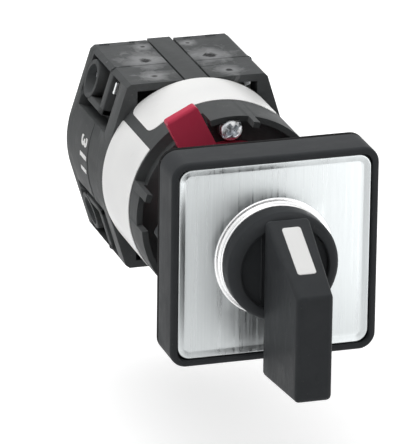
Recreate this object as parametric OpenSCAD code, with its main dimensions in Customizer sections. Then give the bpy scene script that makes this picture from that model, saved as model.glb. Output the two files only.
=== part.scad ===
// Rotary cam switch for single-hole panel mounting, two positions, two contacts
// Frame: origin on the shaft axis in the plane of the panel's front face, +Z up,
// the handle faces -Y and the shaft runs along +Y through the panel

/* [Front plate] */
// Side of the square bezel
bezel_w = 30; // [28:0.5:36]
// Depth of the bezel from its front rim to its back
bezel_depth = 6.1; // [5.8:0.1:8]
// Corner radius of the bezel
bezel_r = 2.4; // [1.6:0.1:3.4]
// Width of the bezel's rim round the legend plate
bezel_rim = 1; // [0.8:0.1:1.6]
// Thickness of the metal legend plate
legend_t = 0.6; // [0.4:0.1:0.8]
// Radius of the bright collar as a share of the bezel's side
collar_share = 0.2683; // [0.25:0.005:0.28]
// Thickness of the panel gasket
gasket_t = 0.8; // [0.5:0.1:1.2]

/* [Handle] */
// Radius of the handle's disc as a share of the collar's radius
knob_share = 0.994; // [0.95:0.002:0.998]
// Height of the handle's disc
knob_h = 4; // [3.4:0.1:4.8]
// Reach of the grip in front of the disc's back
grip_reach = 17.2; // [15:0.1:20]
// Drop of the grip's lower end below the shaft axis
grip_drop = 15.4; // [14:0.1:17]
// Width of the grip where it leaves the disc
grip_root_w = 6.3; // [5.8:0.1:6.6]
// Width of the grip at its front face
grip_front_w = 5.2; // [4.6:0.1:5.8]
// Height of the grip's front edge above the shaft axis
grip_brow = 0.7; // [0:0.1:2]

/* [Panel fixing] */
// Radius of the ring in the panel's hole as a share of the bezel's side: 0.37 suits 22.5 mm
adaptor_share = 0.37; // [0.35:0.005:0.375]
// Thickness of the panel that the nut is drawn against
panel_t = 3; // [2.6:0.1:4]
// Radius of the threaded neck as a share of the base's radius
neck_share = 0.5603; // [0.54:0.005:0.57]
// Width across the fixing nut's flats as a share of the bezel's side
nut_share = 0.7667; // [0.7:0.01:0.8]
// Thickness of the fixing nut
nut_t = 4.5; // [3.5:0.1:5]

/* [Fixing base] */
// Radius of the round base, which the contact block matches
base_r = 14.1; // [13.9:0.05:14.6]
// Distance from the panel's front face to the base's front edge
base_stand = 10.4; // [10:0.1:12]
// Length of the round base
base_len = 19.6; // [19:0.1:22]
// Wall of the base's front cup
cup_wall = 0.9; // [0.7:0.05:1.1]
// Turn of the lock lever from locked to released, in degrees
lever_turn_angle = 32; // [20:1:33]
// Reach of the lock lever's tab beyond the round base
lever_proud = 2.7; // [2:0.1:4]
// Width of the lock lever's tab
lever_w = 4.9; // [4:0.1:5]

/* [Contact block] */
// Width of the block's top and bottom flats as a share of its width
block_flat_share = 0.74; // [0.72:0.005:0.78]
// Length of the front shell
front_shell_len = 5; // [4.6:0.1:6]
// Length of the rear shell
rear_shell_len = 12.3; // [12.2:0.1:14]
// Thickness of the rear cover
cover_t = 1.6; // [1.5:0.1:2.2]
// Distance of the tie bolts from the shaft axis as a share of the base's radius
bolt_share = 0.8369; // [0.83:0.002:0.845]
// Width of the channel strips as a share of the base's radius
strip_share = 0.248; // [0.21:0.005:0.3]

/* [Switching] */
// Turn of the handle between its two positions, in degrees
handle_turn_angle = 60; // [30:5:60]
// Inward travel of a plunger as a share of the base's radius
travel_share = 0.1135; // [0.08:0.005:0.1135]
// Radius of the shaft's front journal as a share of the base's radius
shaft_share = 0.2057; // [0.2:0.002:0.21]
// Side of the shaft's square drive as a share of the base's radius
square_share = 0.2837; // [0.27:0.002:0.287]
// Width across the index boss's flats as a share of the base's radius
index_share = 0.5674; // [0.53:0.005:0.59]
// Wire diameter of the contact springs
spring_wire = 0.36; // [0.3:0.02:0.4]
// Turns of each contact spring
spring_turns = 3.5; // [2.5:0.5:4]

/* [Hidden] */
$fn = 96;

// Clearances and overrun shared by the whole part
run_gap = 0.05;     // round bearing or guided face, per side
seat_gap = 0.1;     // piece laid in its seat, per side
wide_gap = 0.3;     // free space round a piece that only passes through
eps = 0.4;          // overrun of a cut past the face it opens

// Radii that follow the bezel's side or the base's radius
collar_r = bezel_w * collar_share;
knob_r = collar_r * knob_share;
neck_plate_share = 0.2634;
nose_share = 0.733;
nose_r = collar_r * nose_share;
flange_share = 0.4133;
flange_r = bezel_w * flange_share;
adaptor_r = bezel_w * adaptor_share;
nut_af = bezel_w * nut_share;
neck_r = min(base_r * neck_share, bezel_w * neck_plate_share);
shaft_r = base_r * shaft_share;
shaft_sq = base_r * square_share;
plunger_travel = base_r * travel_share;

// Depths of the front plate
y_bezel_back = -gasket_t;
y_bezel_front = y_bezel_back - bezel_depth;
plate_sink = 0.6;
web_t = 2;
y_plate_front = y_bezel_front + plate_sink;
y_web_front = y_plate_front + legend_t;
y_web_back = y_web_front + web_t;
bezel_wall = 1.4;
bezel_bevel = 0.4;
plate_band = 0.7;
plate_band_h = 0.2;
collar_h = 1.6;
y_collar_front = y_web_front - collar_h;
y_nose_front = y_collar_front + wide_gap;
seal_t = 1.2;
seal_w = 0.9;
knob_lift = 0.2;
y_knob_back = y_collar_front - knob_lift;
y_knob_front = y_knob_back - knob_h;
knob_edge_r = 1.4;
dish_depth = 0.5;
dish_r = knob_r - knob_edge_r - seat_gap;
y_grip_front = y_knob_back - grip_reach;
y_grip_back = y_knob_front + wide_gap;
grip_round = 0.7;
grip_toe = 0.8;
shaft_reach_share = 0.64;
y_shaft_front = y_knob_back - grip_reach * shaft_reach_share;

// White insert on the grip's sloped top
slope_rise = knob_r - grip_brow;
slope_run = y_grip_back - y_grip_front;
slope_angle = atan2(slope_rise, slope_run);
insert_width_share = 0.52;
insert_w = grip_front_w * insert_width_share;
insert_length_share = 0.56;
insert_len = norm([slope_rise, slope_run]) * insert_length_share;
insert_place_share = 0.44;
insert_t = 0.8;
insert_proud = 0.06;
insert_corner = 0.35;

// Panel fixing
adaptor_t = 2.5;
adaptor_step = 0.5;
y_nut_back = panel_t + nut_t;
nut_flange_t = 1;
lug_share = 0.085;
lug_r = neck_r + base_r * lug_share;
lug_t_share = 0.0714;
lug_t = base_len * lug_t_share;
lug_half_angle = 12;
lug_play_angle = 1;

// Depths of the fixing base
y_base_front = base_stand;
y_base_back = y_base_front + base_len;
cup_depth_share = 0.245;
base_web_share = 0.2194;
y_ledge = y_base_front + base_len * cup_depth_share;
y_web_end = y_ledge + base_len * base_web_share;
neck_seat_share = 0.102;
y_neck_end = y_ledge + base_len * neck_seat_share;
window_depth_share = 0.1327;
window_depth = base_len * window_depth_share;
slot_depth_share = 0.311;
slot_depth = base_len * slot_depth_share;
wall_bite = 0.6;
cup_r = base_r - cup_wall;
lock_t_share = 0.102;
y_lock_back = y_ledge - seat_gap;
y_lock_front = y_lock_back - base_len * lock_t_share;
lock_ring_share = 0.695;
lock_ring_r = base_r * lock_ring_share;
lever_reach = base_r + lever_proud;
lever_angle = 27;
lever_slot_angles = [14, 71];
side_window_angles = [76, 94];
bolt_window_angles = [-9, 9];
wide_window_angles = [-50, -13];
claw_angles = [125, 235, 305];
claw_half_angle = 8;
claw_hook = 0.4;
claw_t = 0.7;
claw_wall = 0.9;
bolt_z = base_r * bolt_share;
bolt_r_share = 0.0567;
bolt_r = base_r * bolt_r_share;
bolt_head_share = 0.1206;
bolt_head_r = base_r * bolt_head_share;
bolt_head_t_share = 0.0714;
bolt_boss_share = 0.1277;
bolt_boss_r = base_r * bolt_boss_share;
y_bolt_front = y_lock_front;
y_bolt_seat = y_bolt_front + base_len * bolt_head_t_share;
index_cup_share = 0.695;
index_cup_r = base_r * index_cup_share;
stop_seat_share = 0.7518;
stop_seat_r = base_r * stop_seat_share;
stop_t_share = 0.102;
y_stop = y_base_back - base_len * stop_t_share;

// Index mechanism behind the base's web
index_play = 1.2;
y_index = y_web_end + index_play;
index_len_share = 0.6;
index_len = (y_stop - y_index) * index_len_share;
index_af = base_r * index_share;
leaf_t_share = 0.0319;
leaf_t = base_r * leaf_t_share;
leaf_w_share = 0.77;
leaf_w = index_len * leaf_w_share;
leaf_half_share = 0.61;
leaf_half = base_r * leaf_half_share;
post_x_share = 0.51;
post_x = base_r * post_x_share;
post_w_share = 0.064;
post_w = base_r * post_w_share;
post_h_share = 0.1135;
post_h = base_r * post_h_share;
stop_hub_share = 0.312;
stop_hub_r = base_r * stop_hub_share;
stop_lug_share = 0.5957;
stop_lug_r = base_r * stop_lug_share;
stop_lug_half_angle = 12;
stop_ring_share = 0.6383;
stop_ring_r = base_r * stop_ring_share;
stop_tooth_share = 0.4539;
stop_tooth_r = base_r * stop_tooth_share;
stop_tooth_angle = 14;
stop_slack_angle = 0.4;

// Depths and outline of the contact block, as wide as the round base
y_block = y_base_back;
y_seam = y_block + front_shell_len;
y_cover = y_seam + rear_shell_len;
y_block_back = y_cover + cover_t;
block_w = 2 * base_r;
block_h_share = 0.993;
block_h = block_w * block_h_share;
block_flat_w = block_w * block_flat_share;
block_chamfer = 0.5;
strip_w = base_r * strip_share;
strip_t = 0.5;
strip_groove = 0.3;
strip_hook = 0.7;
strip_lip = 0.2;
nut_pocket_floor = 0.4;
tie_nut_share = 0.227;
tie_nut_af = base_r * tie_nut_share;
tie_nut_t = cover_t - nut_pocket_floor;
corner_pocket_x_shares = [0.2128, 0.6383];
corner_pocket_x = base_r * corner_pocket_x_shares;
corner_pocket_z_shares = [0.6809, 0.9149];
corner_pocket_z = base_r * corner_pocket_z_shares;
corner_pocket_share = 0.64;
corner_pocket_depth = front_shell_len * corner_pocket_share;

// Contact deck just behind the seam
deck_share = 0.4065;
y_deck_end = y_seam + rear_shell_len * deck_share;
y_mid = (y_seam + y_deck_end) / 2;
cam_share = 0.3475;
cam_r = base_r * cam_share;
cam_k = plunger_travel * 180 / (PI * handle_turn_angle);
cam_lead_angle = 6;
cam_room = cam_r + wide_gap;
tail_share = 0.1348;
tail_r = base_r * tail_share;
tail_gap_back = 0.4;
nose_round_share = 0.0638;
nose_round = base_r * nose_round_share;
plunger_w_share = 0.2411;
plunger_w = base_r * plunger_w_share;
pocket_share = 0.0957;
pocket_r = base_r * pocket_share;
plunger_top_share = 0.7305;
plunger_top = base_r * plunger_top_share;
deck_top = plunger_top + seat_gap;
spring_floor_share = 0.5674;
spring_floor = base_r * spring_floor_share;
bridge_z_share = 0.4894;
bridge_z = base_r * bridge_z_share;
bridge_t_share = 0.0496;
bridge_t = base_r * bridge_t_share;
bridge_half_share = 0.383;
bridge_half = base_r * bridge_half_share;
bridge_w_share = 0.244;
bridge_w = rear_shell_len * bridge_w_share;
rivet_x_share = 0.3369;
rivet_x = base_r * rivet_x_share;
rivet_r_share = 0.0426;
rivet_r = base_r * rivet_r_share;
rivet_h_share = 0.0284;
rivet_h = base_r * rivet_h_share;
bridge_room_side = 0.4;
finger_t_share = 0.0567;
finger_t = base_r * finger_t_share;
finger_x_share = 0.2801;
finger_x = base_r * finger_x_share;
finger_w = bridge_w;
contact_gap = 0.05;
finger_top = bridge_z - rivet_h - plunger_travel - contact_gap;
tab_x_share = 0.4539;
tab_x = base_r * tab_x_share;
tab_t_share = 0.0567;
tab_t = base_r * tab_t_share;
tab_top_share = 0.8936;
tab_top = base_r * tab_top_share;
tab_front = 0.8;
tab_back = 0.3;

// Terminals in the four corners of the block, as large as its length and radius allow
screw_z_share = 0.7234;
screw_z = base_r * screw_z_share;
screw_head_shares = [0.1418, 0.1626];
screw_head_r = min(base_r * screw_head_shares[0], rear_shell_len * screw_head_shares[1]);
screw_back_share = 1.2;
y_screw = y_cover - screw_head_r * screw_back_share;
screw_r_share = 0.6;
screw_r = screw_head_r * screw_r_share;
screw_head_t_share = 0.6;
screw_head_t = screw_head_r * screw_head_t_share;
screw_tip = 1;
wire_room_share = 0.0993;
wire_room = base_r * wire_room_share;
washer_share = 2.1;
washer_side = screw_head_r * washer_share;
washer_t_share = 0.0567;
washer_t = base_r * washer_t_share;
washer_x = tab_x + tab_t + wire_room;
head_x = washer_x + washer_t;
access_share = 1.15;
access_r = screw_head_r * access_share;
funnel_share = 1.5;
funnel_r = screw_head_r * funnel_share;
funnel_depth_share = 0.45;
funnel_depth = screw_head_r * funnel_depth_share;
chamber_share = 0.4634;
chamber_len = rear_shell_len * chamber_share;
chamber_low_share = 0.5674;
chamber_low = base_r * chamber_low_share;
chamber_high_share = 0.9078;
chamber_high = base_r * chamber_high_share;
side_hole_z_shares = [0.4326, 0.9149];
side_hole_z = base_r * side_hole_z_shares;
rear_hole_y_shares = [0.2195, 0.5285];
rear_hole_y = rear_shell_len * rear_hole_y_shares;
front_hole_y_shares = [-0.26, 0.18];
front_hole_y = front_shell_len * front_hole_y_shares;
wire_hole_share = 0.0461;
wire_hole_r = base_r * wire_hole_share;
wire_hole_off_share = 0.1383;
wire_hole_off = base_r * wire_hole_off_share;
wire_mouth = 0.35;
wire_mouth_t = 0.4;

// Labels on the round base
label_t = 0.12;
label_corner = 1.6;
label_top_angles = [-40, 45];
label_top_share = 0.4949;
label_side_angles = [51.5, 128];
label_side_share = 0.3265;
label_inset = 0.1;

// Unit vector in the front view, b degrees to the left of straight up
function left_of_top(b) = [-sin(b), cos(b)];

// Centre of the arc that rounds corner b between its neighbours a and c
function round_centre(a, b, c, r) =
    let (u = (a - b) / norm(a - b), v = (c - b) / norm(c - b), half = acos(u * v) / 2)
    b + (u + v) / norm(u + v) * r / sin(half);

// Corner points cut back by c along both edges of each corner
function chamfered(pts, c) = [for (i = [0:len(pts) - 1])
    let (p = pts[i], a = pts[(i + len(pts) - 1) % len(pts)], d = pts[(i + 1) % len(pts)])
    each [p + (a - p) / norm(a - p) * c, p + (d - p) / norm(d - p) * c]];

// Front-view outline extruded from depth y0 to depth y1
module slab(y0, y1) {
    translate([0, y1, 0]) rotate([90, 0, 0]) linear_extrude(height = y1 - y0) children();
}

// Radius-and-depth outline turned about the shaft axis
module turned() {
    rotate([-90, 0, 0]) rotate_extrude() children();
}

// Wedge of the front view between two angles to the left of the top
module wedge(arc, r) {
    steps = 6;
    polygon(concat([[0, 0]],
        [for (i = [0:steps]) 2 * r * left_of_top(arc[0] + (arc[1] - arc[0]) * i / steps)]));
}

module ring(r0, r1) {
    difference() {
        circle(r1);
        circle(r0);
    }
}

module ring_sector(r0, r1, arc) {
    intersection() {
        ring(r0, r1);
        wedge(arc, r1);
    }
}

module round_square(w, r) {
    square([w - 2 * r, w], center = true);
    square([w, w - 2 * r], center = true);
    for (sx = [-1, 1], sz = [-1, 1]) translate([sx, sz] * (w / 2 - r)) circle(r);
}

// Both copies of a shape on either side of the shaft axis
module top_and_bottom() {
    children();
    mirror([0, 0, 1]) children();
}

module four_corners() {
    for (sx = [0, 1], sz = [0, 1]) mirror([sx, 0, 0]) mirror([0, 0, sz]) children();
}

/* Front plate */

module bezel_frame() {
    color([0.2, 0.21, 0.22]) difference() {
        hull() {
            slab(y_bezel_front + bezel_bevel, y_bezel_back) round_square(bezel_w, bezel_r, $fn = 32);
            slab(y_bezel_front, y_bezel_back)
                round_square(bezel_w - 2 * bezel_bevel, bezel_r - bezel_bevel, $fn = 32);
        }
        slab(y_bezel_front - eps, y_web_front)
            round_square(bezel_w - 2 * bezel_rim, bezel_r - bezel_rim / 2);
        slab(y_web_back, y_bezel_back + eps)
            round_square(bezel_w - 2 * bezel_wall, bezel_r - bezel_rim);
        slab(y_web_front - eps, y_web_back + eps) circle(nose_r + seat_gap);
    }
}

module legend_plate() {
    side = bezel_w - 2 * bezel_rim - 2 * seat_gap;
    corner = bezel_r - bezel_rim / 2;
    color([0.78, 0.78, 0.78]) {
        slab(y_plate_front, y_web_front) difference() {
            round_square(side, corner);
            circle(collar_r + seat_gap);
        }
        slab(y_plate_front - plate_band_h, y_plate_front) difference() {
            round_square(side, corner);
            round_square(side - 2 * plate_band, corner - plate_band / 2);
        }
    }
}

module collar_ring() {
    color([0.9, 0.9, 0.9]) slab(y_collar_front, y_web_front) ring(nose_r + run_gap, collar_r);
}

module shaft_seal() {
    color([0.08, 0.08, 0.08]) slab(y_nose_front, y_nose_front + seal_t)
        ring(shaft_r + run_gap, shaft_r + run_gap + seal_w);
}

module panel_gasket() {
    color([0.07, 0.07, 0.07]) slab(y_bezel_back, 0) difference() {
        round_square(bezel_w, bezel_r);
        circle(adaptor_r + seat_gap);
    }
}

/* Neck, ring and nut in the panel */

module head_bushing() {
    bore_r = shaft_r + run_gap;
    lug_front = y_lock_front - seat_gap - lug_t;
    color([0.24, 0.25, 0.26]) {
        turned() polygon([
            [bore_r + seal_w, y_nose_front], [nose_r, y_nose_front], [nose_r, y_web_back],
            [flange_r, y_web_back], [flange_r, y_bezel_back], [neck_r, y_bezel_back],
            [neck_r, y_neck_end], [bore_r, y_neck_end], [bore_r, y_nose_front + seal_t],
            [bore_r + seal_w, y_nose_front + seal_t]]);
        for (b = [0, 120, 240]) slab(lug_front, lug_front + lug_t)
            ring_sector(neck_r - seat_gap, lug_r, [b - lug_half_angle, b + lug_half_angle]);
    }
}

module adaptor_ring() {
    color([0.16, 0.16, 0.17]) turned() polygon([
        [neck_r + seat_gap, y_bezel_back], [adaptor_r - adaptor_step, y_bezel_back],
        [adaptor_r - adaptor_step, 0], [adaptor_r, 0], [adaptor_r, adaptor_t],
        [neck_r + seat_gap, adaptor_t]]);
}

module fixing_nut() {
    color([0.14, 0.14, 0.15]) difference() {
        union() {
            slab(panel_t, y_nut_back) circle(nut_af / 2 / cos(30), $fn = 6);
            slab(panel_t, panel_t + nut_flange_t) circle(nut_af / 2 / cos(30));
        }
        slab(panel_t - eps, y_nut_back + eps) circle(neck_r + seat_gap);
    }
}

/* Handle and shaft */

// Side outline of the grip as [depth, height], from the disc's top edge round to the toe
grip_side = [[y_grip_back, knob_r], [y_grip_front, grip_brow],
    [y_grip_front, -grip_drop + grip_toe], [y_grip_back, -grip_drop]];

// Half width of the grip at depth y, less the rounding of its edges
function grip_half(y) =
    grip_front_w / 2 - grip_round
    + (grip_root_w - grip_front_w) / 2 * (y - y_grip_front) / (y_grip_back - y_grip_front);

// Balls that fill the four corners of the grip's side outline on both flanks
module grip_corners() {
    for (i = [0:3], side = [-1, 1]) {
        c = round_centre(grip_side[(i + 3) % 4], grip_side[i], grip_side[(i + 1) % 4], grip_round);
        translate([side * grip_half(c[0]), c[0], c[1]]) sphere(grip_round, $fn = 16);
    }
}

// Moves a shape drawn flat, +X across and +Y down the slope, onto the grip's sloped top
module on_slope() {
    mid = grip_side[0] * (1 - insert_place_share) + grip_side[1] * insert_place_share;
    translate([0, mid[0], mid[1]]) rotate([slope_angle, 0, 0]) children();
}

module insert_shape(grow) {
    w = insert_w / 2 + grow;
    l = insert_len / 2 + grow;
    polygon(chamfered([[-w, -l], [w, -l], [w, l], [-w, l]], insert_corner));
}

module handle() {
    edge_steps = 8;
    edge = [for (i = [0:edge_steps]) let (a = 90 * i / edge_steps)
        [knob_r - knob_edge_r * (1 - cos(a)), y_knob_front + knob_edge_r * (1 - sin(a))]];
    color([0.17, 0.18, 0.19]) difference() {
        union() {
            difference() {
                turned() polygon(concat([[0, y_knob_back], [knob_r, y_knob_back]], edge,
                    [[0, y_knob_front]]));
                slab(y_knob_front - eps, y_knob_front + dish_depth) circle(dish_r);
            }
            hull() grip_corners();
        }
        slab(y_shaft_front - run_gap, y_knob_back + eps)
            square(shaft_sq + 2 * run_gap, center = true);
        on_slope() translate([0, 0, -insert_t]) linear_extrude(height = insert_t + eps)
            insert_shape(run_gap);
    }
}

module pointer_insert() {
    color([0.96, 0.96, 0.96]) on_slope() translate([0, 0, -insert_t])
        linear_extrude(height = insert_t + insert_proud) insert_shape(0);
}

module drive_shaft() {
    y_journal_front = y_knob_back + seat_gap;
    y_journal_back = y_index - seat_gap;
    color([0.62, 0.6, 0.55]) {
        slab(y_shaft_front, y_deck_end) square(shaft_sq, center = true);
        slab(y_journal_front, y_journal_back) circle(shaft_r);
        slab(y_mid, y_block_back - tail_gap_back) circle(tail_r);
    }
}

module index_boss() {
    color([0.85, 0.84, 0.78]) slab(y_index, y_index + index_len) difference() {
        circle(index_af / 2 / cos(30), $fn = 6);
        square(shaft_sq + 2 * run_gap, center = true);
    }
}

module stop_disc() {
    y0 = y_stop + seat_gap;
    color([0.85, 0.84, 0.78]) slab(y0, y_base_back - seat_gap) difference() {
        union() {
            circle(stop_hub_r);
            ring_sector(stop_hub_r - seat_gap, stop_lug_r,
                [handle_turn_angle / 2 - stop_lug_half_angle, handle_turn_angle / 2 + stop_lug_half_angle]);
        }
        square(shaft_sq + 2 * run_gap, center = true);
    }
}

// Radius of the cam's pitch curve, phi degrees to the left of a lobe's start
pitch_r = cam_r + nose_round + run_gap;
function pitch(phi) = pitch_r - cam_k * PI / 180 * phi;

// Point of the cam's working face under the plunger's round nose
function cam_face(phi) =
    let (u = left_of_top(phi), w = [-cos(phi), -sin(phi)],
        t = u * -cam_k + w * pitch(phi), n = [t[1], -t[0]] / norm(t),
        out = n * u > 0 ? n : -n)
    u * pitch(phi) - out * (nose_round + run_gap);

// Return stretch of the cam between one lobe's low end and the next lobe's high end
function cam_return(phi) =
    let (a = handle_turn_angle + cam_lead_angle, s = (phi - a) / (180 - cam_lead_angle - a),
        blend = s * s * (3 - 2 * s), r0 = norm(cam_face(a)), r1 = norm(cam_face(-cam_lead_angle)),
        b0 = atan2(-cam_face(a)[0], cam_face(a)[1]),
        b1 = 180 + atan2(-cam_face(-cam_lead_angle)[0], cam_face(-cam_lead_angle)[1]))
    left_of_top(b0 + (b1 - b0) * s) * (r0 + (r1 - r0) * blend);

module contact_cam() {
    face_step = 3;
    return_step = 6;
    a = handle_turn_angle + cam_lead_angle;
    half = concat([for (phi = [-cam_lead_angle:face_step:a]) cam_face(phi)],
        [for (phi = [a + return_step:return_step:180 - cam_lead_angle - return_step]) cam_return(phi)]);
    color([0.9, 0.89, 0.82]) slab(y_seam + wide_gap, y_deck_end - wide_gap) difference() {
        polygon(concat(half, [for (p = half) -p]));
        square(shaft_sq + 2 * run_gap, center = true);
    }
}

/* Round base with its lock lever and index mechanism */

module base_window(arc, depth) {
    slab(y_base_front - eps, y_base_front + depth) ring_sector(cup_r - wall_bite, base_r + eps, arc);
}

module base_claw(b) {
    stem_r = lock_ring_r + seat_gap;
    arc = [b - claw_half_angle, b + claw_half_angle];
    hook_back = y_lock_front - seat_gap;
    slab(hook_back - claw_t, hook_back) ring_sector(stem_r - claw_hook, stem_r + claw_wall, arc);
    slab(hook_back - claw_t, y_ledge) ring_sector(stem_r, stem_r + claw_wall, arc);
}

// Shoulders that the two leaf springs rest against
module index_posts() {
    z0 = index_af / 2 + run_gap;
    slab(y_web_end - eps, y_index + index_len) intersection() {
        circle(index_cup_r + eps);
        for (sx = [0, 1]) mirror([sx, 0]) {
            translate([post_x, -z0 + run_gap]) square([index_cup_r, 2 * (z0 - run_gap)]);
            for (sz = [0, 1]) mirror([0, sz]) translate([post_x, z0 + leaf_t + run_gap])
                square([post_w, post_h]);
        }
    }
}

module fixing_base() {
    color([0.22, 0.23, 0.23]) {
        difference() {
            slab(y_base_front, y_base_back) circle(base_r);
            slab(y_base_front - eps, y_ledge) difference() {
                circle(cup_r);
                for (s = [-1, 1]) translate([0, s * bolt_z]) circle(bolt_boss_r);
            }
            slab(y_base_front - eps, y_bolt_seat) {
                circle(cup_r);
                for (s = [-1, 1]) translate([0, s * bolt_z]) circle(bolt_head_r + seat_gap);
            }
            slab(y_ledge - eps, y_neck_end + seat_gap) circle(neck_r + run_gap);
            slab(y_ledge, y_web_end + eps) circle(shaft_r + run_gap);
            slab(y_web_end, y_base_back + eps) circle(index_cup_r);
            slab(y_stop, y_base_back + eps) circle(stop_seat_r);
            top_and_bottom() slab(y_base_front, y_base_back + eps)
                translate([0, bolt_z]) circle(bolt_r + seat_gap);
            base_window(lever_slot_angles, slot_depth);
            for (turn = [0, 180], arc = [side_window_angles, bolt_window_angles, wide_window_angles])
                base_window([arc[0] + turn, arc[1] + turn], window_depth);
        }
        for (b = claw_angles) base_claw(b);
        index_posts();
    }
}

module lock_lever() {
    inner = lock_ring_r - wide_gap;
    lug_room = lug_half_angle + lug_play_angle;
    color([0.58, 0.16, 0.23]) slab(y_lock_front, y_lock_back) {
        difference() {
            ring(neck_r + run_gap, lock_ring_r);
            for (b = [0, 120, 240])
                ring_sector(neck_r - seat_gap, lug_r + seat_gap,
                    [b - lever_turn_angle - lug_room, b - lever_turn_angle + lug_room]);
        }
        rotate(lever_angle) translate([-lever_w / 2, inner]) square([lever_w, lever_reach - inner]);
    }
}

module index_spring(side) {
    z0 = index_af / 2 + run_gap;
    y_leaf = y_index + (index_len - leaf_w) / 2;
    color([0.75, 0.76, 0.78]) mirror([0, 0, side]) slab(y_leaf, y_leaf + leaf_w)
        translate([-leaf_half, z0]) square([2 * leaf_half, leaf_t]);
}

module index_spring_upper() { index_spring(0); }

module index_spring_lower() { index_spring(1); }

module stop_plate() {
    edge = handle_turn_angle / 2 + stop_lug_half_angle + stop_slack_angle;
    color([0.7, 0.7, 0.72]) slab(y_stop, y_base_back) {
        ring(stop_ring_r, stop_seat_r - run_gap);
        for (arc = [[edge, edge + stop_tooth_angle], [-edge - stop_tooth_angle, -edge]])
            ring_sector(stop_tooth_r, stop_ring_r + seat_gap, arc);
    }
}

/* Contact block */

module block_outline() {
    polygon(chamfered([[-block_flat_w / 2, block_h / 2], [block_flat_w / 2, block_h / 2],
        [block_w / 2, 0], [block_flat_w / 2, -block_h / 2], [-block_flat_w / 2, -block_h / 2],
        [-block_w / 2, 0]], block_chamfer));
}

// Groove along the block's top that carries a channel strip
module strip_groove() {
    w = strip_w + 2 * strip_groove;
    top_and_bottom() slab(y_block - eps, y_block_back + eps)
        translate([-w / 2, block_h / 2 - strip_t]) square([w, strip_t + eps]);
}

module bolt_holes() {
    top_and_bottom() slab(y_block - eps, y_block_back + eps) translate([0, bolt_z])
        circle(bolt_r + seat_gap);
}

// Channel that holds one fixed contact, open to the side through two tall holes
module terminal_cavity() {
    x0 = tab_x - run_gap;
    low = finger_top - finger_t - run_gap;
    y0 = y_seam - tab_front - run_gap;
    translate([x0, y0, low]) cube([tab_t + 2 * run_gap, y_cover + eps - y0, tab_top + run_gap - low]);
    translate([x0, y_cover - chamber_len, chamber_low])
        cube([head_x + seat_gap - x0, chamber_len + eps, chamber_high - chamber_low]);
    for (span = [rear_hole_y, front_hole_y])
        translate([x0, y_seam + span[0], side_hole_z[0]])
            cube([block_w / 2 - x0, span[1] - span[0], side_hole_z[1] - side_hole_z[0]]);
    translate([tab_x - screw_tip - seat_gap, y_screw, screw_z]) rotate([0, 90, 0])
        cylinder(h = block_w / 2, r = screw_r + seat_gap);
    translate([head_x - seat_gap, y_screw, screw_z]) rotate([0, 90, 0])
        cylinder(h = block_w / 2, r = access_r);
    face_x = block_w / 2 - (block_w - block_flat_w) / block_h * screw_z;
    translate([face_x - funnel_depth, y_screw, screw_z]) rotate([0, 90, 0])
        cylinder(h = 2 * funnel_depth, r1 = access_r, r2 = 2 * funnel_r - access_r);
}

// Space of the cam, plungers and bridges, open at the seam
module deck_cavity() {
    y1 = y_deck_end;
    room_w = 2 * (bridge_half + bridge_room_side);
    guide_w = plunger_w + 2 * run_gap;
    low = finger_top - finger_t - run_gap;
    slab(y_seam - eps, y1) circle(cam_room);
    top_and_bottom() slab(y_seam - eps, y1) {
        translate([-room_w / 2, low]) square([room_w, spring_floor + wide_gap - low]);
        translate([-guide_w / 2, 0]) square([guide_w, deck_top]);
        translate([-tab_x - run_gap, low]) square([2 * (tab_x + run_gap), finger_t + 2 * run_gap]);
    }
}

module front_shell() {
    color([0.3, 0.31, 0.32]) difference() {
        slab(y_block, y_seam) block_outline();
        slab(y_block - eps, y_seam + eps) circle(shaft_r + wide_gap);
        four_corners() slab(y_block - eps, y_block + corner_pocket_depth)
            translate([corner_pocket_x[0], corner_pocket_z[0]])
            square([corner_pocket_x[1] - corner_pocket_x[0], corner_pocket_z[1] - corner_pocket_z[0]]);
        strip_groove();
        bolt_holes();
        four_corners() terminal_cavity();
    }
}

module rear_shell() {
    color([0.26, 0.27, 0.28]) difference() {
        slab(y_seam, y_cover) block_outline();
        deck_cavity();
        slab(y_seam, y_cover + eps) circle(tail_r + run_gap);
        strip_groove();
        bolt_holes();
        four_corners() terminal_cavity();
    }
}

module rear_cover() {
    color([0.24, 0.25, 0.26]) difference() {
        slab(y_cover, y_block_back) block_outline();
        slab(y_cover - eps, y_block_back + eps) circle(tail_r + run_gap);
        strip_groove();
        bolt_holes();
        top_and_bottom() slab(y_cover + nut_pocket_floor, y_block_back + eps)
            translate([0, bolt_z]) circle(tie_nut_af / 2 / cos(30) + run_gap, $fn = 6);
        four_corners() {
            for (s = [-1, 1]) translate([0, 0, s * wire_hole_off]) {
                slab(y_cover - eps, y_block_back + eps)
                    translate([washer_x - wire_room / 2, screw_z]) circle(wire_hole_r);
                slab(y_block_back - wire_mouth_t, y_block_back + eps)
                    translate([washer_x - wire_room / 2, screw_z]) circle(wire_hole_r + wire_mouth);
            }
        }
    }
}

// Strip that closes the bolt channel along the block's top, with a lip behind the rear cover
module channel_strip() {
    z0 = block_h / 2 - strip_t;
    color([0.36, 0.37, 0.38]) {
        slab(y_block + wide_gap, y_block_back + strip_hook) translate([-strip_w / 2, z0])
            square([strip_w, strip_t]);
        slab(y_block_back, y_block_back + strip_hook) translate([-strip_w / 2, z0 - strip_lip])
            square([strip_w, strip_t]);
    }
}

module strip_upper() { channel_strip(); }

module strip_lower() { mirror([0, 0, 1]) channel_strip(); }

/* Contacts */

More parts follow.
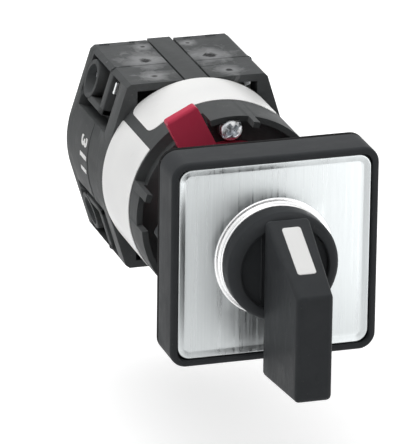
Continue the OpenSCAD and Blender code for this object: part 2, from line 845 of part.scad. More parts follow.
module plunger() {
    guide = plunger_w / 2;
    y0 = y_seam + seat_gap;
    y1 = y_deck_end - seat_gap;
    nose_z = pitch_r;
    color([0.86, 0.85, 0.78]) difference() {
        union() {
            slab(y0, y1) translate([0, nose_z]) circle(nose_round);
            slab(y0, y1) polygon([[-nose_round, nose_z], [nose_round, nose_z],
                [guide, nose_z + nose_round], [guide, plunger_top], [-guide, plunger_top],
                [-guide, nose_z + nose_round]]);
        }
        translate([0, y_mid, spring_floor]) cylinder(h = plunger_top - spring_floor + eps, r = pocket_r);
        translate([-plunger_w, y_mid - bridge_w / 2 - run_gap, bridge_z - run_gap])
            cube([2 * plunger_w, bridge_w + 2 * run_gap, bridge_t + 2 * run_gap]);
    }
}

module plunger_upper() { plunger(); }

module plunger_lower() { mirror([0, 0, 1]) plunger(); }

module bridge() {
    color([0.8, 0.52, 0.3]) translate([-bridge_half, y_mid - bridge_w / 2, bridge_z])
        cube([2 * bridge_half, bridge_w, bridge_t]);
    color([0.85, 0.85, 0.86]) for (s = [-1, 1]) translate([s * rivet_x, y_mid, bridge_z - rivet_h])
        cylinder(h = rivet_h + bridge_t / 2, r = rivet_r);
}

module bridge_upper() { bridge(); }

module bridge_lower() { mirror([0, 0, 1]) bridge(); }

// One coil spring as a closed tube swept along its helix, with closed end turns
module contact_spring() {
    sides = 6;
    rings = 12;
    last = ceil(spring_turns * rings);
    r = pocket_r - seat_gap - spring_wire / 2;
    wire = spring_wire / 2;
    z0 = spring_floor + wire;
    rise = deck_top - wire - z0;
    pts = [for (i = [0:last], j = [0:sides - 1])
        let (a = 360 * i / rings, b = 360 * j / sides, q = r + wire * cos(b))
        [q * cos(a), y_mid + q * sin(a), z0 + rise * i / last + wire * sin(b)]];
    walls = [for (i = [0:last - 1], j = [0:sides - 1])
        let (p = i * sides + j, n = i * sides + (j + 1) % sides)
        each [[p, p + sides, n], [n, p + sides, n + sides]]];
    ends = [for (j = [1:sides - 2]) each [[0, j, j + 1],
        [last * sides, last * sides + j + 1, last * sides + j]]];
    color([0.72, 0.73, 0.75]) polyhedron(pts, concat(walls, ends));
}

module contact_spring_upper() { contact_spring(); }

module contact_spring_lower() { mirror([0, 0, 1]) contact_spring(); }

// Bent strip with a finger under the bridge and a tall tab that carries the terminal screw
module fixed_contact() {
    y0 = y_seam - tab_front;
    y1 = y_cover - tab_back;
    color([0.78, 0.62, 0.36]) difference() {
        union() {
            translate([finger_x, y_mid - finger_w / 2, finger_top - finger_t])
                cube([tab_x + tab_t - finger_x, finger_w, finger_t]);
            translate([tab_x, y0, finger_top - finger_t])
                cube([tab_t, y1 - y0, tab_top - finger_top + finger_t]);
        }
        translate([tab_x - eps, y_screw, screw_z]) rotate([0, 90, 0])
            cylinder(h = tab_t + 2 * eps, r = screw_r + run_gap);
    }
}

module fixed_contact_upper_right() { fixed_contact(); }

module fixed_contact_upper_left() { mirror([1, 0, 0]) fixed_contact(); }

module fixed_contact_lower_right() { mirror([0, 0, 1]) fixed_contact(); }

module fixed_contact_lower_left() { mirror([1, 0, 0]) mirror([0, 0, 1]) fixed_contact(); }

module terminal_washers() {
    color([0.8, 0.8, 0.82]) four_corners() difference() {
        translate([washer_x, y_screw - washer_side / 2, screw_z - washer_side / 2])
            cube([washer_t, washer_side, washer_side]);
        translate([washer_x - eps, y_screw, screw_z]) rotate([0, 90, 0])
            cylinder(h = washer_t + 2 * eps, r = screw_r + run_gap);
    }
}

module terminal_screws() {
    color([0.8, 0.8, 0.82]) four_corners() translate([0, y_screw, screw_z]) rotate([0, 90, 0]) {
        translate([0, 0, tab_x - screw_tip]) cylinder(h = head_x - tab_x + screw_tip, r = screw_r);
        translate([0, 0, head_x]) cylinder(h = screw_head_t, r = screw_head_r);
    }
}

module tie_bolts() {
    color([0.82, 0.83, 0.85]) top_and_bottom() {
        slab(y_bolt_front, y_bolt_seat) translate([0, bolt_z]) circle(bolt_head_r);
        slab(y_bolt_seat, y_block_back) translate([0, bolt_z]) circle(bolt_r);
    }
}

module tie_nuts() {
    color([0.82, 0.83, 0.85]) top_and_bottom() slab(y_block_back - tie_nut_t, y_block_back)
        translate([0, bolt_z]) difference() {
            circle(tie_nut_af / 2 / cos(30), $fn = 6);
            circle(bolt_r + run_gap);
        }
}

/* Labels */

// Thin curved plate on the round base, with rounded corners
module label(arc, y0) {
    y1 = y_base_back - label_inset;
    corner_deg = label_corner / base_r * 180 / PI;
    color([0.95, 0.95, 0.95]) {
        slab(y0, y1) ring_sector(base_r, base_r + label_t, [arc[0] + corner_deg, arc[1] - corner_deg]);
        slab(y0 + label_corner, y1 - label_corner) ring_sector(base_r, base_r + label_t, arc);
    }
}

module label_top() { label(label_top_angles, y_base_front + base_len * label_top_share); }

module label_side() {
    color([0.95, 0.95, 0.95]) slab(y_base_front + base_len * label_side_share, y_base_back - label_inset)
        ring_sector(base_r, base_r + label_t, label_side_angles);
}

handle();
pointer_insert();
drive_shaft();
index_boss();
stop_disc();
contact_cam();
bezel_frame();
legend_plate();
collar_ring();
shaft_seal();
panel_gasket();
head_bushing();
adaptor_ring();
fixing_nut();
fixing_base();
lock_lever();
index_spring_upper();
index_spring_lower();
stop_plate();
front_shell();
rear_shell();
rear_cover();
strip_upper();
strip_lower();
plunger_upper();
plunger_lower();
bridge_upper();
bridge_lower();
contact_spring_upper();
contact_spring_lower();
fixed_contact_upper_left();
fixed_contact_upper_right();
fixed_contact_lower_left();
fixed_contact_lower_right();
terminal_washers();
terminal_screws();
tie_bolts();
tie_nuts();
label_top();
label_side();
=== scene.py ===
"""Looks of the rotary cam switch, laid out as a Blender add-on and run as a script."""

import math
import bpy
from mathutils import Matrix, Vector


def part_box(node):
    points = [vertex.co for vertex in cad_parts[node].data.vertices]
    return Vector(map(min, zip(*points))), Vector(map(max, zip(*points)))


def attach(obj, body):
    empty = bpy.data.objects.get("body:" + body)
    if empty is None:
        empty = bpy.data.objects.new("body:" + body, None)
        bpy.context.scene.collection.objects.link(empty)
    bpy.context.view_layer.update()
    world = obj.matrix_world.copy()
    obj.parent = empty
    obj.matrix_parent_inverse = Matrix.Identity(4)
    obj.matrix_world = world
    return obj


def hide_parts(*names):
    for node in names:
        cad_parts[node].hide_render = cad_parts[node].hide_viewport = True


bl_info = {
    "name": "Rotary Cam Switch Looks",
    "version": (1, 0, 0),
    "blender": (4, 5, 0),
    "location": "View3D > Sidebar > Cam Switch",
    "description": "Dresses the packed rotary cam switch with its mouldings, plate, screws and finishes",
    "category": "Add Mesh",
}

import bmesh
import bpy
import numpy as np
from bpy.props import FloatProperty, FloatVectorProperty, IntProperty, PointerProperty
from mathutils import Matrix, Vector

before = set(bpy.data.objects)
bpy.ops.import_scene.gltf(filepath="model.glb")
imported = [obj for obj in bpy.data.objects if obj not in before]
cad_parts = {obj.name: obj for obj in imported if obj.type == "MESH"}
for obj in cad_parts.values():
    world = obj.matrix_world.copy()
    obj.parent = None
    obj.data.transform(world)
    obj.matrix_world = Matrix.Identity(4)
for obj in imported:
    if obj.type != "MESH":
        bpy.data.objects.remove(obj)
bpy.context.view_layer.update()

MM = 0.001


def reach(node, axis):
    """Lowest and highest place of a CAD node along x, y or z, in millimetres to a hundredth."""
    low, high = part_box(node)
    place = "xyz".index(axis)
    return round(float(low[place]) / MM, 2), round(float(high[place]) / MM, 2)


# Places read from the frame, in millimetres. Y runs along the shaft, from the handle to the cover
Y_BEZEL_FRONT, Y_BEZEL_BACK = reach("bezel_frame", "y")
Y_WEB_FRONT = reach("legend_plate", "y")[1]
Y_KNOB_BACK = reach("handle", "y")[1]
Y_NOSE, Y_SEAL_SEAT = reach("shaft_seal", "y")
BEZEL_SIDE = 2 * reach("bezel_frame", "x")[1]
PLATE_SIDE = 2 * reach("legend_plate", "x")[1]
BASE_R = reach("fixing_base", "x")[1]
BLOCK_HALF_H = reach("rear_cover", "z")[1]

# Places inside those nodes, which no box gives: the plate's front and the web's rear, the disc's front and
# the grip's ends, the grip's height at both ends and half its width, the disc's dish and the rim round it,
# half the block's top flat, and the axes of the terminal screws and tie bolts
Y_PLATE_FRONT, Y_WEB_BACK = -6.3, -3.7
Y_KNOB_FRONT, Y_GRIP_BACK, Y_GRIP_FRONT = -11.5, -11.2, -24.7
GRIP_TOP, GRIP_BROW, GRIP_HALF = 8.0, 0.7, 3.15
DISH_DEPTH, DISH_RIM = 1.0, 2.1
BLOCK_FLAT_HALF = 10.434
SCREW_Y, SCREW_Z = 44.9, 10.2
BOLT_Z = 11.8

# Angle at which the block's slanted side, drawn from the top corner, touches the base's circle
SIDE_LEAN = (math.atan2(BLOCK_HALF_H, BLOCK_FLAT_HALF)
             - math.acos(BASE_R / math.hypot(BLOCK_FLAT_HALF, BLOCK_HALF_H)))

# Openings in the slanted sides: along y, up the slope from the tangent point, and their depth
OPENING_Y, OPENING_SLOPE, OPENING_DEPTH = (33.2, 46.7), (1.8, 9.6), 3.0

# Signs of x and z in the block's four quarters, and the sign of z on its two flat faces
QUARTERS = ((-1, -1), (-1, 1), (1, -1), (1, 1))
FACES = ((1, "top"), (-1, "under"))

# Distances in metres under which points are one: on a CAD node, on a worked-out grid and on fine detail
CAD_WELD, GRID_WELD, FINE_WELD = 1e-6, 0.2e-6, 1e-7

# Finish, body and material slot of each kind of piece
BEZEL = ("Bezel plastic", "body", "bezel_black")
PLATE = ("Brushed plate", "body", "brushed_plate")
COLLAR = ("Collar metal", "body", "collar_bright")
SEAL = ("Seal rubber", "body", "seal_rubber")
HANDLE = ("Handle plastic", "rotor", "handle_black")
MARKER = ("White plastic", "rotor", "white_plastic")
NECK = ("Neck plastic", "body", "base_grey")
NUT = ("Nut plastic", "body", "nut_black")
BASE = ("Base plastic", "body", "base_grey")
LEVER = ("Lever plastic", "lock_lever", "lever_red")
FILM = ("White film", "body", "white_label")
BLOCK = ("Block plastic", "body", "block_grey")
NUMERAL = ("White plastic", "body", "white_plastic")
ZINC = ("Zinc plate", "body", "zinc")


class SwitchSizes(bpy.types.PropertyGroup):
    """Sizes of the detail that the scene adds to the frame."""

    knob_radius: FloatProperty(
        name="Knob radius", description="Radius of the handle's disc, as in the frame",
        default=(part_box("handle")[1][0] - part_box("handle")[0][0]) / 2, unit="LENGTH", precision=5)
    edge_round: FloatProperty(
        name="Grip edge rounding", description="Radius along the grip's long edges",
        default=0.7 * MM, min=0.2 * MM, max=1.2 * MM, unit="LENGTH", precision=5)
    moulding_edge: FloatProperty(
        name="Moulded edge", description="Width of the rounding on the moulded housings' edges",
        default=0.14 * MM, min=0.02 * MM, max=0.3 * MM, unit="LENGTH", precision=5)
    thread_pitch: FloatProperty(
        name="Neck thread pitch", description="Distance between the turns of the neck's thread",
        default=1.0 * MM, min=0.5 * MM, max=2.0 * MM, unit="LENGTH", precision=5)
    thread_depth: FloatProperty(
        name="Neck thread depth", description="Depth of the neck's thread",
        default=0.45 * MM, min=0.1 * MM, max=0.7 * MM, unit="LENGTH", precision=5)
    numeral_height: FloatProperty(
        name="Terminal number height", description="Height of the plain terminal numbers",
        default=3.6 * MM, min=1.0 * MM, max=5.0 * MM, unit="LENGTH", precision=5)
    turn_steps: IntProperty(
        name="Steps round", description="Faces round a turned piece", default=128, min=32, max=256)


class SwitchColours(bpy.types.PropertyGroup):
    """Colours of the finishes, as linear values."""

    housing: FloatVectorProperty(
        name="Housing", description="Charcoal of the moulded housings", subtype="COLOR", size=3,
        default=(0.078, 0.082, 0.083), min=0, max=1)
    handle: FloatVectorProperty(
        name="Handle", description="Near-black of the handle", subtype="COLOR", size=3,
        default=(0.042, 0.045, 0.048), min=0, max=1)
    lever: FloatVectorProperty(
        name="Lock lever", description="Crimson of the lock lever", subtype="COLOR", size=3,
        default=(0.6, 0.05, 0.1), min=0, max=1)
    plate: FloatVectorProperty(
        name="Legend plate", description="Tone of the brushed plate", subtype="COLOR", size=3,
        default=(0.55, 0.575, 0.58), min=0, max=1)
    label: FloatVectorProperty(
        name="Label", description="White of the film labels", subtype="COLOR", size=3,
        default=(0.93, 0.93, 0.92), min=0, max=1)


def sizes():
    """The scene's sizes of added detail."""
    return bpy.context.scene.switch_sizes


def colours():
    """The scene's colours of the finishes."""
    return bpy.context.scene.switch_colours


# Node groups, each one effect shared by several finishes


class Wiring:
    """Short calls that add nodes to a tree and join them."""

    def __init__(self, tree):
        self.tree = tree

    def add(self, kind, **settings):
        """A new node of a kind, with its settings."""
        node = self.tree.nodes.new(kind)
        for key, value in settings.items():
            setattr(node, key, value)
        return node

    def join(self, source, target):
        """Links one socket to another."""
        self.tree.links.new(source, target)

    def feed(self, socket, value):
        """Sets a socket to a number or a colour, or links it where the value is a socket itself."""
        if isinstance(value, bpy.types.NodeSocket):
            self.join(value, socket)
        elif isinstance(value, (int, float)):
            socket.default_value = value
        else:
            socket.default_value = (*tuple(value)[:3], 1)

    def fed(self, node, values):
        """Feeds each value to the node's input of that name or number, and gives the node back."""
        for label, value in values.items():
            self.feed(node.inputs[label], value)
        return node

    def maths(self, operation, a, b, clamp=False):
        """Result of a sum on two values."""
        node = self.add("ShaderNodeMath", operation=operation, use_clamp=clamp)
        return self.fed(node, {0: a, 1: b}).outputs[0]

    def object_point(self, scale=(1, 1, 1), turn=(0, 0, 0)):
        """Object coordinates, scaled and turned."""
        where = self.add("ShaderNodeTexCoord")
        mapping = self.add("ShaderNodeMapping")
        mapping.inputs["Scale"].default_value = scale
        mapping.inputs["Rotation"].default_value = turn
        self.join(where.outputs["Object"], mapping.inputs["Vector"])
        return mapping.outputs["Vector"]

    def noise(self, vector, scale, detail, rough, distort=0.0):
        """Cloudy noise from 0 to 1 at a point."""
        node = self.add("ShaderNodeTexNoise")
        values = {"Vector": vector, "Scale": scale, "Detail": detail, "Roughness": rough,
                  "Distortion": distort}
        return self.fed(node, values).outputs["Fac"]

    def span(self, value, low, high, to_low, to_high):
        """The value carried from the range low to high onto the other range, and held at its ends."""
        node = self.add("ShaderNodeMapRange", clamp=True)
        values = {"Value": value, "From Min": low, "From Max": high, "To Min": to_low, "To Max": to_high}
        return self.fed(node, values).outputs["Result"]

    def mix_colour(self, factor, a, b):
        """Colour a at factor 0 and colour b at factor 1."""
        node = self.add("ShaderNodeMix", data_type="RGBA")
        return self.fed(node, {0: factor, 6: a, 7: b}).outputs[2]


# What a group gives for a finish to use
SKIN = (("Colour", "NodeSocketColor"), ("Roughness", "NodeSocketFloat"), ("Height", "NodeSocketFloat"))


def new_group(name, inputs, outputs=SKIN):
    """An empty shader group, its wiring, what it is given and what it gives. Inputs are (name, default) rows
    whose default is a number, a place or a colour, and outputs are (name, kind) rows."""
    group = bpy.data.node_groups.new(name, "ShaderNodeTree")
    for label, value in inputs:
        parts = len(value) if isinstance(value, tuple) else 1
        kind = {1: "NodeSocketFloat", 3: "NodeSocketVector", 4: "NodeSocketColor"}[parts]
        group.interface.new_socket(label, in_out="INPUT", socket_type=kind).default_value = value
    for label, kind in outputs:
        group.interface.new_socket(label, in_out="OUTPUT", socket_type=kind)
    w = Wiring(group)
    return group, w, w.add("NodeGroupInput").outputs, w.add("NodeGroupOutput").inputs


def grain_group():
    """Spark-eroded mould texture: fine noise for the height, slower noise for tone and gloss."""
    group, w, given, out = new_group(
        "Moulded grain",
        [("Colour", (0.04, 0.04, 0.04, 1)), ("Grain Scale", 5200.0), ("Roughness Low", 0.42),
         ("Roughness High", 0.62), ("Mottle", 0.3)])
    here = w.object_point()
    fine = w.noise(here, given["Grain Scale"], 4, 0.6)
    slow = w.noise(here, 210, 4, 0.6, 0.4)
    flow = w.noise(w.object_point(scale=(1, 0.35, 1)), 90, 3, 0.5, 1.2)
    bright = w.mix_colour(0.5, given["Colour"], (0.19, 0.19, 0.2))
    dull = w.mix_colour(0.45, given["Colour"], (0.004, 0.004, 0.005))
    amount = w.maths("MULTIPLY", w.span(slow, 0.42, 0.72, 0, 1), given["Mottle"])
    tone = w.mix_colour(amount, given["Colour"], bright)
    shade = w.maths("MULTIPLY", w.span(flow, 0.5, 0.75, 0, 1), given["Mottle"])
    tone = w.mix_colour(shade, tone, dull)
    fleck = w.maths("MULTIPLY", w.span(fine, 0.62, 0.74, 0, 0.35), given["Mottle"])
    w.join(w.mix_colour(fleck, tone, bright), out["Colour"])
    w.join(w.span(slow, 0.35, 0.68, given["Roughness Low"], given["Roughness High"]), out["Roughness"])
    w.join(fine, out["Height"])
    return group


def handling_group():
    """Handling gloss and dust: rubbed streaks lower the roughness, sparse specks lighten the colour."""
    group, w, given, out = new_group(
        "Handling",
        [("Colour", (0.04, 0.04, 0.04, 1)), ("Roughness", 0.5), ("Rub", 0.3), ("Dust", 0.2)], SKIN[:2])
    streak = w.noise(w.object_point(scale=(1, 3, 0.6), turn=(0.3, 0.2, 0.5)), 380, 5, 0.65, 0.8)
    rub = w.maths("MULTIPLY", w.span(streak, 0.5, 0.7, 0, 0.32), given["Rub"])
    w.join(w.maths("SUBTRACT", given["Roughness"], rub, clamp=True), out["Roughness"])
    speck = w.noise(w.object_point(), 2600, 2, 0.5)
    patch = w.noise(w.object_point(), 120, 2, 0.5)
    dust = w.maths("MULTIPLY", w.span(speck, 0.66, 0.76, 0, 1), w.span(patch, 0.48, 0.62, 0, 1))
    dust = w.maths("MULTIPLY", dust, given["Dust"])
    w.join(w.mix_colour(dust, given["Colour"], (0.42, 0.41, 0.39)), out["Colour"])
    return group


def brush_group():
    """Brushed metal: noise drawn out along Z gives long hair lines, a slower one gives soft bands."""
    group, w, given, out = new_group(
        "Upright brushing",
        [("Colour", (0.7, 0.7, 0.7, 1)), ("Line Contrast", 0.3), ("Roughness Low", 0.24),
         ("Roughness High", 0.42)])
    hair = w.noise(w.object_point(scale=(9000, 9000, 190)), 1.0, 3, 0.6)
    band = w.noise(w.object_point(scale=(1900, 1900, 34)), 1.0, 4, 0.65)
    cloud = w.noise(w.object_point(scale=(120, 120, 60)), 1.0, 2, 0.5)
    dark = w.mix_colour(0.62, given["Colour"], (0.12, 0.13, 0.135))
    lines = w.maths("MULTIPLY", w.span(band, 0.36, 0.66, 0.85, 0), given["Line Contrast"])
    tone = w.mix_colour(lines, given["Colour"], dark)
    soft = w.maths("MULTIPLY", w.span(cloud, 0.4, 0.66, 0, 0.3), given["Line Contrast"])
    w.join(w.mix_colour(soft, tone, dark), out["Colour"])
    w.join(w.span(band, 0.35, 0.65, given["Roughness Low"], given["Roughness High"]), out["Roughness"])
    w.join(w.maths("ADD", w.maths("MULTIPLY", hair, 0.6), w.maths("MULTIPLY", band, 0.4)), out["Height"])
    return group


def plating_group():
    """Zinc plate and drawn metal: spangled tone, fine pits and a faint blue to yellow cast."""
    group, w, given, out = new_group(
        "Bright plating",
        [("Colour", (0.7, 0.71, 0.72, 1)), ("Cast", 0.4), ("Spangle", 0.35), ("Roughness Low", 0.18),
         ("Roughness High", 0.4)])
    spangle = w.noise(w.object_point(), 1500, 3, 0.6)
    slow = w.noise(w.object_point(), 420, 2, 0.5)
    cast = w.mix_colour(w.span(slow, 0.4, 0.62, 0, 1), (0.74, 0.72, 0.62), (0.6, 0.68, 0.76))
    tone = w.mix_colour(w.maths("MULTIPLY", given["Cast"], 0.6), given["Colour"], cast)
    flecks = w.maths("MULTIPLY", w.span(spangle, 0.45, 0.7, 0, 1), given["Spangle"])
    w.join(w.mix_colour(flecks, tone, (0.22, 0.23, 0.24)), out["Colour"])
    w.join(w.span(spangle, 0.35, 0.65, given["Roughness Low"], given["Roughness High"]), out["Roughness"])
    w.join(spangle, out["Height"])
    return group


def film_group():
    """Printed film: faint fibre and coating waves under a satin coat."""
    group, w, given, out = new_group("Film label", [("Colour", (0.86, 0.86, 0.85, 1))])
    fibre = w.noise(w.object_point(), 2400, 5, 0.7, 0.5)
    wave = w.noise(w.object_point(), 130, 2, 0.4)
    grime = w.noise(w.object_point(), 340, 5, 0.7)
    tone = w.mix_colour(w.span(wave, 0.4, 0.7, 0, 0.22), given["Colour"], (0.7, 0.71, 0.72))
    w.join(w.mix_colour(w.span(grime, 0.62, 0.8, 0, 0.3), tone, (0.55, 0.53, 0.5)), out["Colour"])
    w.join(w.span(fibre, 0.3, 0.7, 0.32, 0.5), out["Roughness"])
    w.join(w.maths("ADD", w.maths("MULTIPLY", wave, 0.9), w.maths("MULTIPLY", fibre, 0.1)), out["Height"])
    return group


def blush_group():
    """Blush round a moulding gate, the same on both sides of each axis: the distance from the centre,
    warped by noise, gives a soft halo that fades at the reach, and a small ragged core."""
    group, w, given, out = new_group(
        "Gate blush", [("Centre", (0.0, 0.0, 0.0)), ("Reach", 0.003)],
        [("Halo", "NodeSocketFloat"), ("Core", "NodeSocketFloat")])
    here = w.object_point()
    folded = w.add("ShaderNodeVectorMath", operation="ABSOLUTE")
    w.join(here, folded.inputs[0])
    gap = w.add("ShaderNodeVectorMath", operation="DISTANCE")
    w.join(folded.outputs[0], gap.inputs[0])
    w.join(given["Centre"], gap.inputs[1])
    warp = w.span(w.noise(here, 520, 4, 0.6, 0.8), 0.3, 0.7, 0.62, 1.5)
    share = w.maths("DIVIDE", w.maths("MULTIPLY", gap.outputs["Value"], warp), given["Reach"])
    w.join(w.span(share, 0.3, 1.0, 1, 0), out["Halo"])
    w.join(w.span(share, 0.14, 0.24, 1, 0), out["Core"])
    return group


GROUPS = {}


def place_group(w, maker, **values):
    """Adds the group that maker builds, once for all finishes. Each value goes to the input of its name,
    which has a space where the value's name has a low line."""
    if maker not in GROUPS:
        GROUPS[maker] = maker()
    node = w.add("ShaderNodeGroup", node_tree=GROUPS[maker])
    return w.fed(node, {label.replace("_", " "): value for label, value in values.items()})


# Finishes


def new_finish(name):
    """A material with its Principled BSDF: returns the material, its wiring and the shader."""
    material = bpy.data.materials.new(name)
    material.use_nodes = True
    shader = material.node_tree.nodes["Principled BSDF"]
    return material, Wiring(material.node_tree), shader


def wire_up(w, shader, surface, height, strength, depth):
    """Joins a surface's colour and roughness to the shader, and a height as a bump of a depth in mm."""
    w.join(surface.outputs["Colour"], shader.inputs["Base Color"])
    w.join(surface.outputs["Roughness"], shader.inputs["Roughness"])
    relief = w.fed(w.add("ShaderNodeBump"), {"Strength": strength, "Distance": depth * MM, "Height": height})
    w.join(relief.outputs["Normal"], shader.inputs["Normal"])


# Gloss of the matt mouldings, and the depth of the bump on plastic and film in millimetres
PLASTIC_SPECULAR, GRAIN_DEPTH = 0.045, 0.02

# Gates on the block's top and bottom: x, y and the reach of the blush, in millimetres
BLUSHES = ((4.85, 39.8, 4.6), (5.6, 32.8, 2.8), (3.4, 46.0, 1.9))


def moulded(name, colour, low, high, mottle, grain, relief, rub, dust):
    """Moulded plastic: the grain group feeds the handling group, and its height feeds a bump."""
    material, w, shader = new_finish(name)
    skin = place_group(w, grain_group, Colour=colour, Grain_Scale=grain, Roughness_Low=low,
                       Roughness_High=high, Mottle=mottle)
    worn = place_group(w, handling_group, Colour=skin.outputs["Colour"],
                       Roughness=skin.outputs["Roughness"], Rub=rub, Dust=dust)
    shader.inputs["Specular IOR Level"].default_value = PLASTIC_SPECULAR
    wire_up(w, shader, worn, skin.outputs["Height"], relief, GRAIN_DEPTH)
    return material


def gated(name, colour):
    """Moulded plastic with a blush round each gate: pale and glossier in the halo, dark in the core."""
    material, w, shader = new_finish(name)
    skin = place_group(w, grain_group, Colour=colour, Grain_Scale=4300.0, Roughness_Low=0.44,
                       Roughness_High=0.62, Mottle=0.42)
    halo, core = 0.0, 0.0
    for x, y, far in BLUSHES:
        blush = place_group(w, blush_group, Reach=far * MM)
        blush.inputs["Centre"].default_value = (x * MM, y * MM, BLOCK_HALF_H * MM)
        halo = w.maths("MAXIMUM", blush.outputs["Halo"], halo)
        core = w.maths("MAXIMUM", blush.outputs["Core"], core)
    pale = w.mix_colour(w.maths("MULTIPLY", halo, 0.8), skin.outputs["Colour"], (0.28, 0.285, 0.29))
    tone = w.mix_colour(w.maths("MULTIPLY", core, 0.92), pale, (0.012, 0.012, 0.013))
    gloss = w.maths("SUBTRACT", skin.outputs["Roughness"], w.maths("MULTIPLY", halo, 0.1))
    worn = place_group(w, handling_group, Colour=tone, Roughness=gloss, Rub=0.4, Dust=0.25)
    shader.inputs["Specular IOR Level"].default_value = PLASTIC_SPECULAR
    wire_up(w, shader, worn, skin.outputs["Height"], 0.4, GRAIN_DEPTH)
    return material


def metal(name, colour, maker, relief, depth, values):
    """Bare or plated metal whose tone, roughness and height come from the group that maker builds."""
    material, w, shader = new_finish(name)
    surface = place_group(w, maker, Colour=colour, **values)
    shader.inputs["Metallic"].default_value = 1.0
    wire_up(w, shader, surface, surface.outputs["Height"], relief, depth)
    return material


def film(name, colour):
    """Label film under a thin satin coat."""
    material, w, shader = new_finish(name)
    surface = place_group(w, film_group, Colour=colour)
    shader.inputs["Coat Weight"].default_value = 0.25
    shader.inputs["Coat Roughness"].default_value = 0.2
    wire_up(w, shader, surface, surface.outputs["Height"], 0.25, GRAIN_DEPTH)
    return material


# Each finish has its maker, then its colour or the name of the setting that holds it. A moulded one goes on
# with its roughness at the glossiest and the dullest, mottle, grain scale, relief, rub and dust, and a metal
# with its group, relief, the relief's depth in millimetres and the group's own values
FINISHES = {
    "Bezel plastic": (moulded, "handle", 0.4, 0.55, 0.12, 5600, 0.3, 0.3, 0.12),
    "Handle plastic": (moulded, "handle", 0.36, 0.5, 0.1, 6400, 0.22, 0.5, 0.08),
    "Block plastic": (gated, "housing"),
    "Base plastic": (moulded, "housing", 0.42, 0.58, 0.3, 4700, 0.35, 0.3, 0.2),
    "Neck plastic": (moulded, "handle", 0.38, 0.52, 0.15, 5200, 0.3, 0.3, 0.15),
    "Nut plastic": (moulded, "handle", 0.4, 0.6, 0.2, 3600, 0.5, 0.3, 0.25),
    "Lever plastic": (moulded, "lever", 0.3, 0.42, 0.05, 3000, 0.15, 0.4, 0.05),
    "Natural plastic": (moulded, (0.66, 0.63, 0.52), 0.35, 0.5, 0.04, 2500, 0.2, 0.2, 0.0),
    "White plastic": (moulded, (0.95, 0.95, 0.94), 0.28, 0.4, 0.02, 3200, 0.1, 0.2, 0.0),
    "Seal rubber": (moulded, (0.012, 0.012, 0.012), 0.7, 0.85, 0.2, 3000, 0.5, 0.1, 0.4),
    "Brushed plate": (metal, "plate", brush_group, 0.45, 0.012, {"Line_Contrast": 0.3}),
    "Collar metal": (metal, (0.96, 0.96, 0.96), plating_group, 0.05, 0.002,
                     {"Cast": 0.02, "Spangle": 0.03, "Roughness_Low": 0.26, "Roughness_High": 0.34}),
    "Zinc plate": (metal, (0.95, 0.97, 1.0), plating_group, 0.25, 0.01,
                   {"Cast": 0.3, "Spangle": 0.16, "Roughness_Low": 0.3, "Roughness_High": 0.46}),
    "Drawn steel": (metal, (0.56, 0.57, 0.58), plating_group, 0.35, 0.01,
                    {"Cast": 0.1, "Roughness_Low": 0.25, "Roughness_High": 0.45}),
    "Contact brass": (metal, (0.72, 0.5, 0.22), plating_group, 0.3, 0.01,
                      {"Cast": 0.12, "Spangle": 0.06, "Roughness_Low": 0.22, "Roughness_High": 0.42}),
    "White film": (film, "label"),
}
BUILT = {}


def finish(name):
    """The named finish of this switch, built the first time it is asked for."""
    if name not in BUILT:
        maker, colour, *values = FINISHES[name]
        if isinstance(colour, str):
            colour = tuple(getattr(colours(), colour))
        BUILT[name] = maker(name, colour, *values)
    return BUILT[name]


# Meshes worked out with numpy


def grid_faces(rows, columns):
    """Quads between the points of a grid, rows by columns, whose last column joins its first."""
    i, j = np.meshgrid(np.arange(rows - 1), np.arange(columns), indexing="ij")
    k = (j + 1) % columns
    quads = np.stack([i * columns + j, i * columns + k, (i + 1) * columns + k, (i + 1) * columns + j], -1)
    return quads.reshape(-1, 4)


def smooth_shade(mesh, angle):
    """Shades a mesh smooth but for edges sharper than the angle in degrees."""
    mesh.shade_smooth()
    mesh.set_sharp_from_angle(angle=math.radians(angle))


def tidy_mesh(mesh, angle, weld=GRID_WELD):
    """Welds seams and poles, turns the faces outwards and keeps edges sharper than the angle sharp."""
    work = bmesh.new()
    work.from_mesh(mesh)
    bmesh.ops.remove_doubles(work, verts=work.verts, dist=weld)
    bmesh.ops.dissolve_degenerate(work, edges=work.edges, dist=weld)
    bmesh.ops.recalc_face_normals(work, faces=work.faces)
    work.to_mesh(mesh)
    work.free()
    smooth_shade(mesh, angle)


def grid_mesh(name, grids, angle=35.0):
    """One mesh of several grids of points in millimetres, each rows by columns by 3."""
    points, quads, start = [], [], 0
    for grid in grids:
        rows, columns = grid.shape[:2]
        points.append(grid.reshape(-1, 3) * MM)
        quads.append(grid_faces(rows, columns) + start)
        start += rows * columns
    mesh = bpy.data.meshes.new(name)
    mesh.from_pydata(np.concatenate(points).tolist(), [], np.concatenate(quads).tolist())
    mesh.update()
    tidy_mesh(mesh, angle)
    return mesh


def joined_mesh(name, meshes):
    """One mesh that takes the place of several."""
    work = bmesh.new()
    for mesh in meshes:
        work.from_mesh(mesh)
        bpy.data.meshes.remove(mesh)
    whole = bpy.data.meshes.new(name)
    work.to_mesh(whole)
    work.free()
    smooth_shade(whole, 40.0)
    return whole


def add_piece(name, mesh, look, stands_for=()):
    """Puts a mesh in the scene as a piece with a finish and on a body."""
    finish_name, body, slot = look
    piece = bpy.data.objects.new(name, mesh)
    bpy.context.scene.collection.objects.link(piece)
    mesh.materials.clear()
    mesh.materials.append(finish(finish_name))
    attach(piece, body)
    if stands_for:
        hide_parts(*stands_for)
    return piece


def arc(centre, radius, start, end, steps):
    """Points of an arc: centre plus radius times (cos a, sin a) for a from start to end, in degrees."""
    a = np.radians(np.linspace(start, end, steps))
    return np.stack([centre[0] + radius * np.cos(a), centre[1] + radius * np.sin(a)], -1)


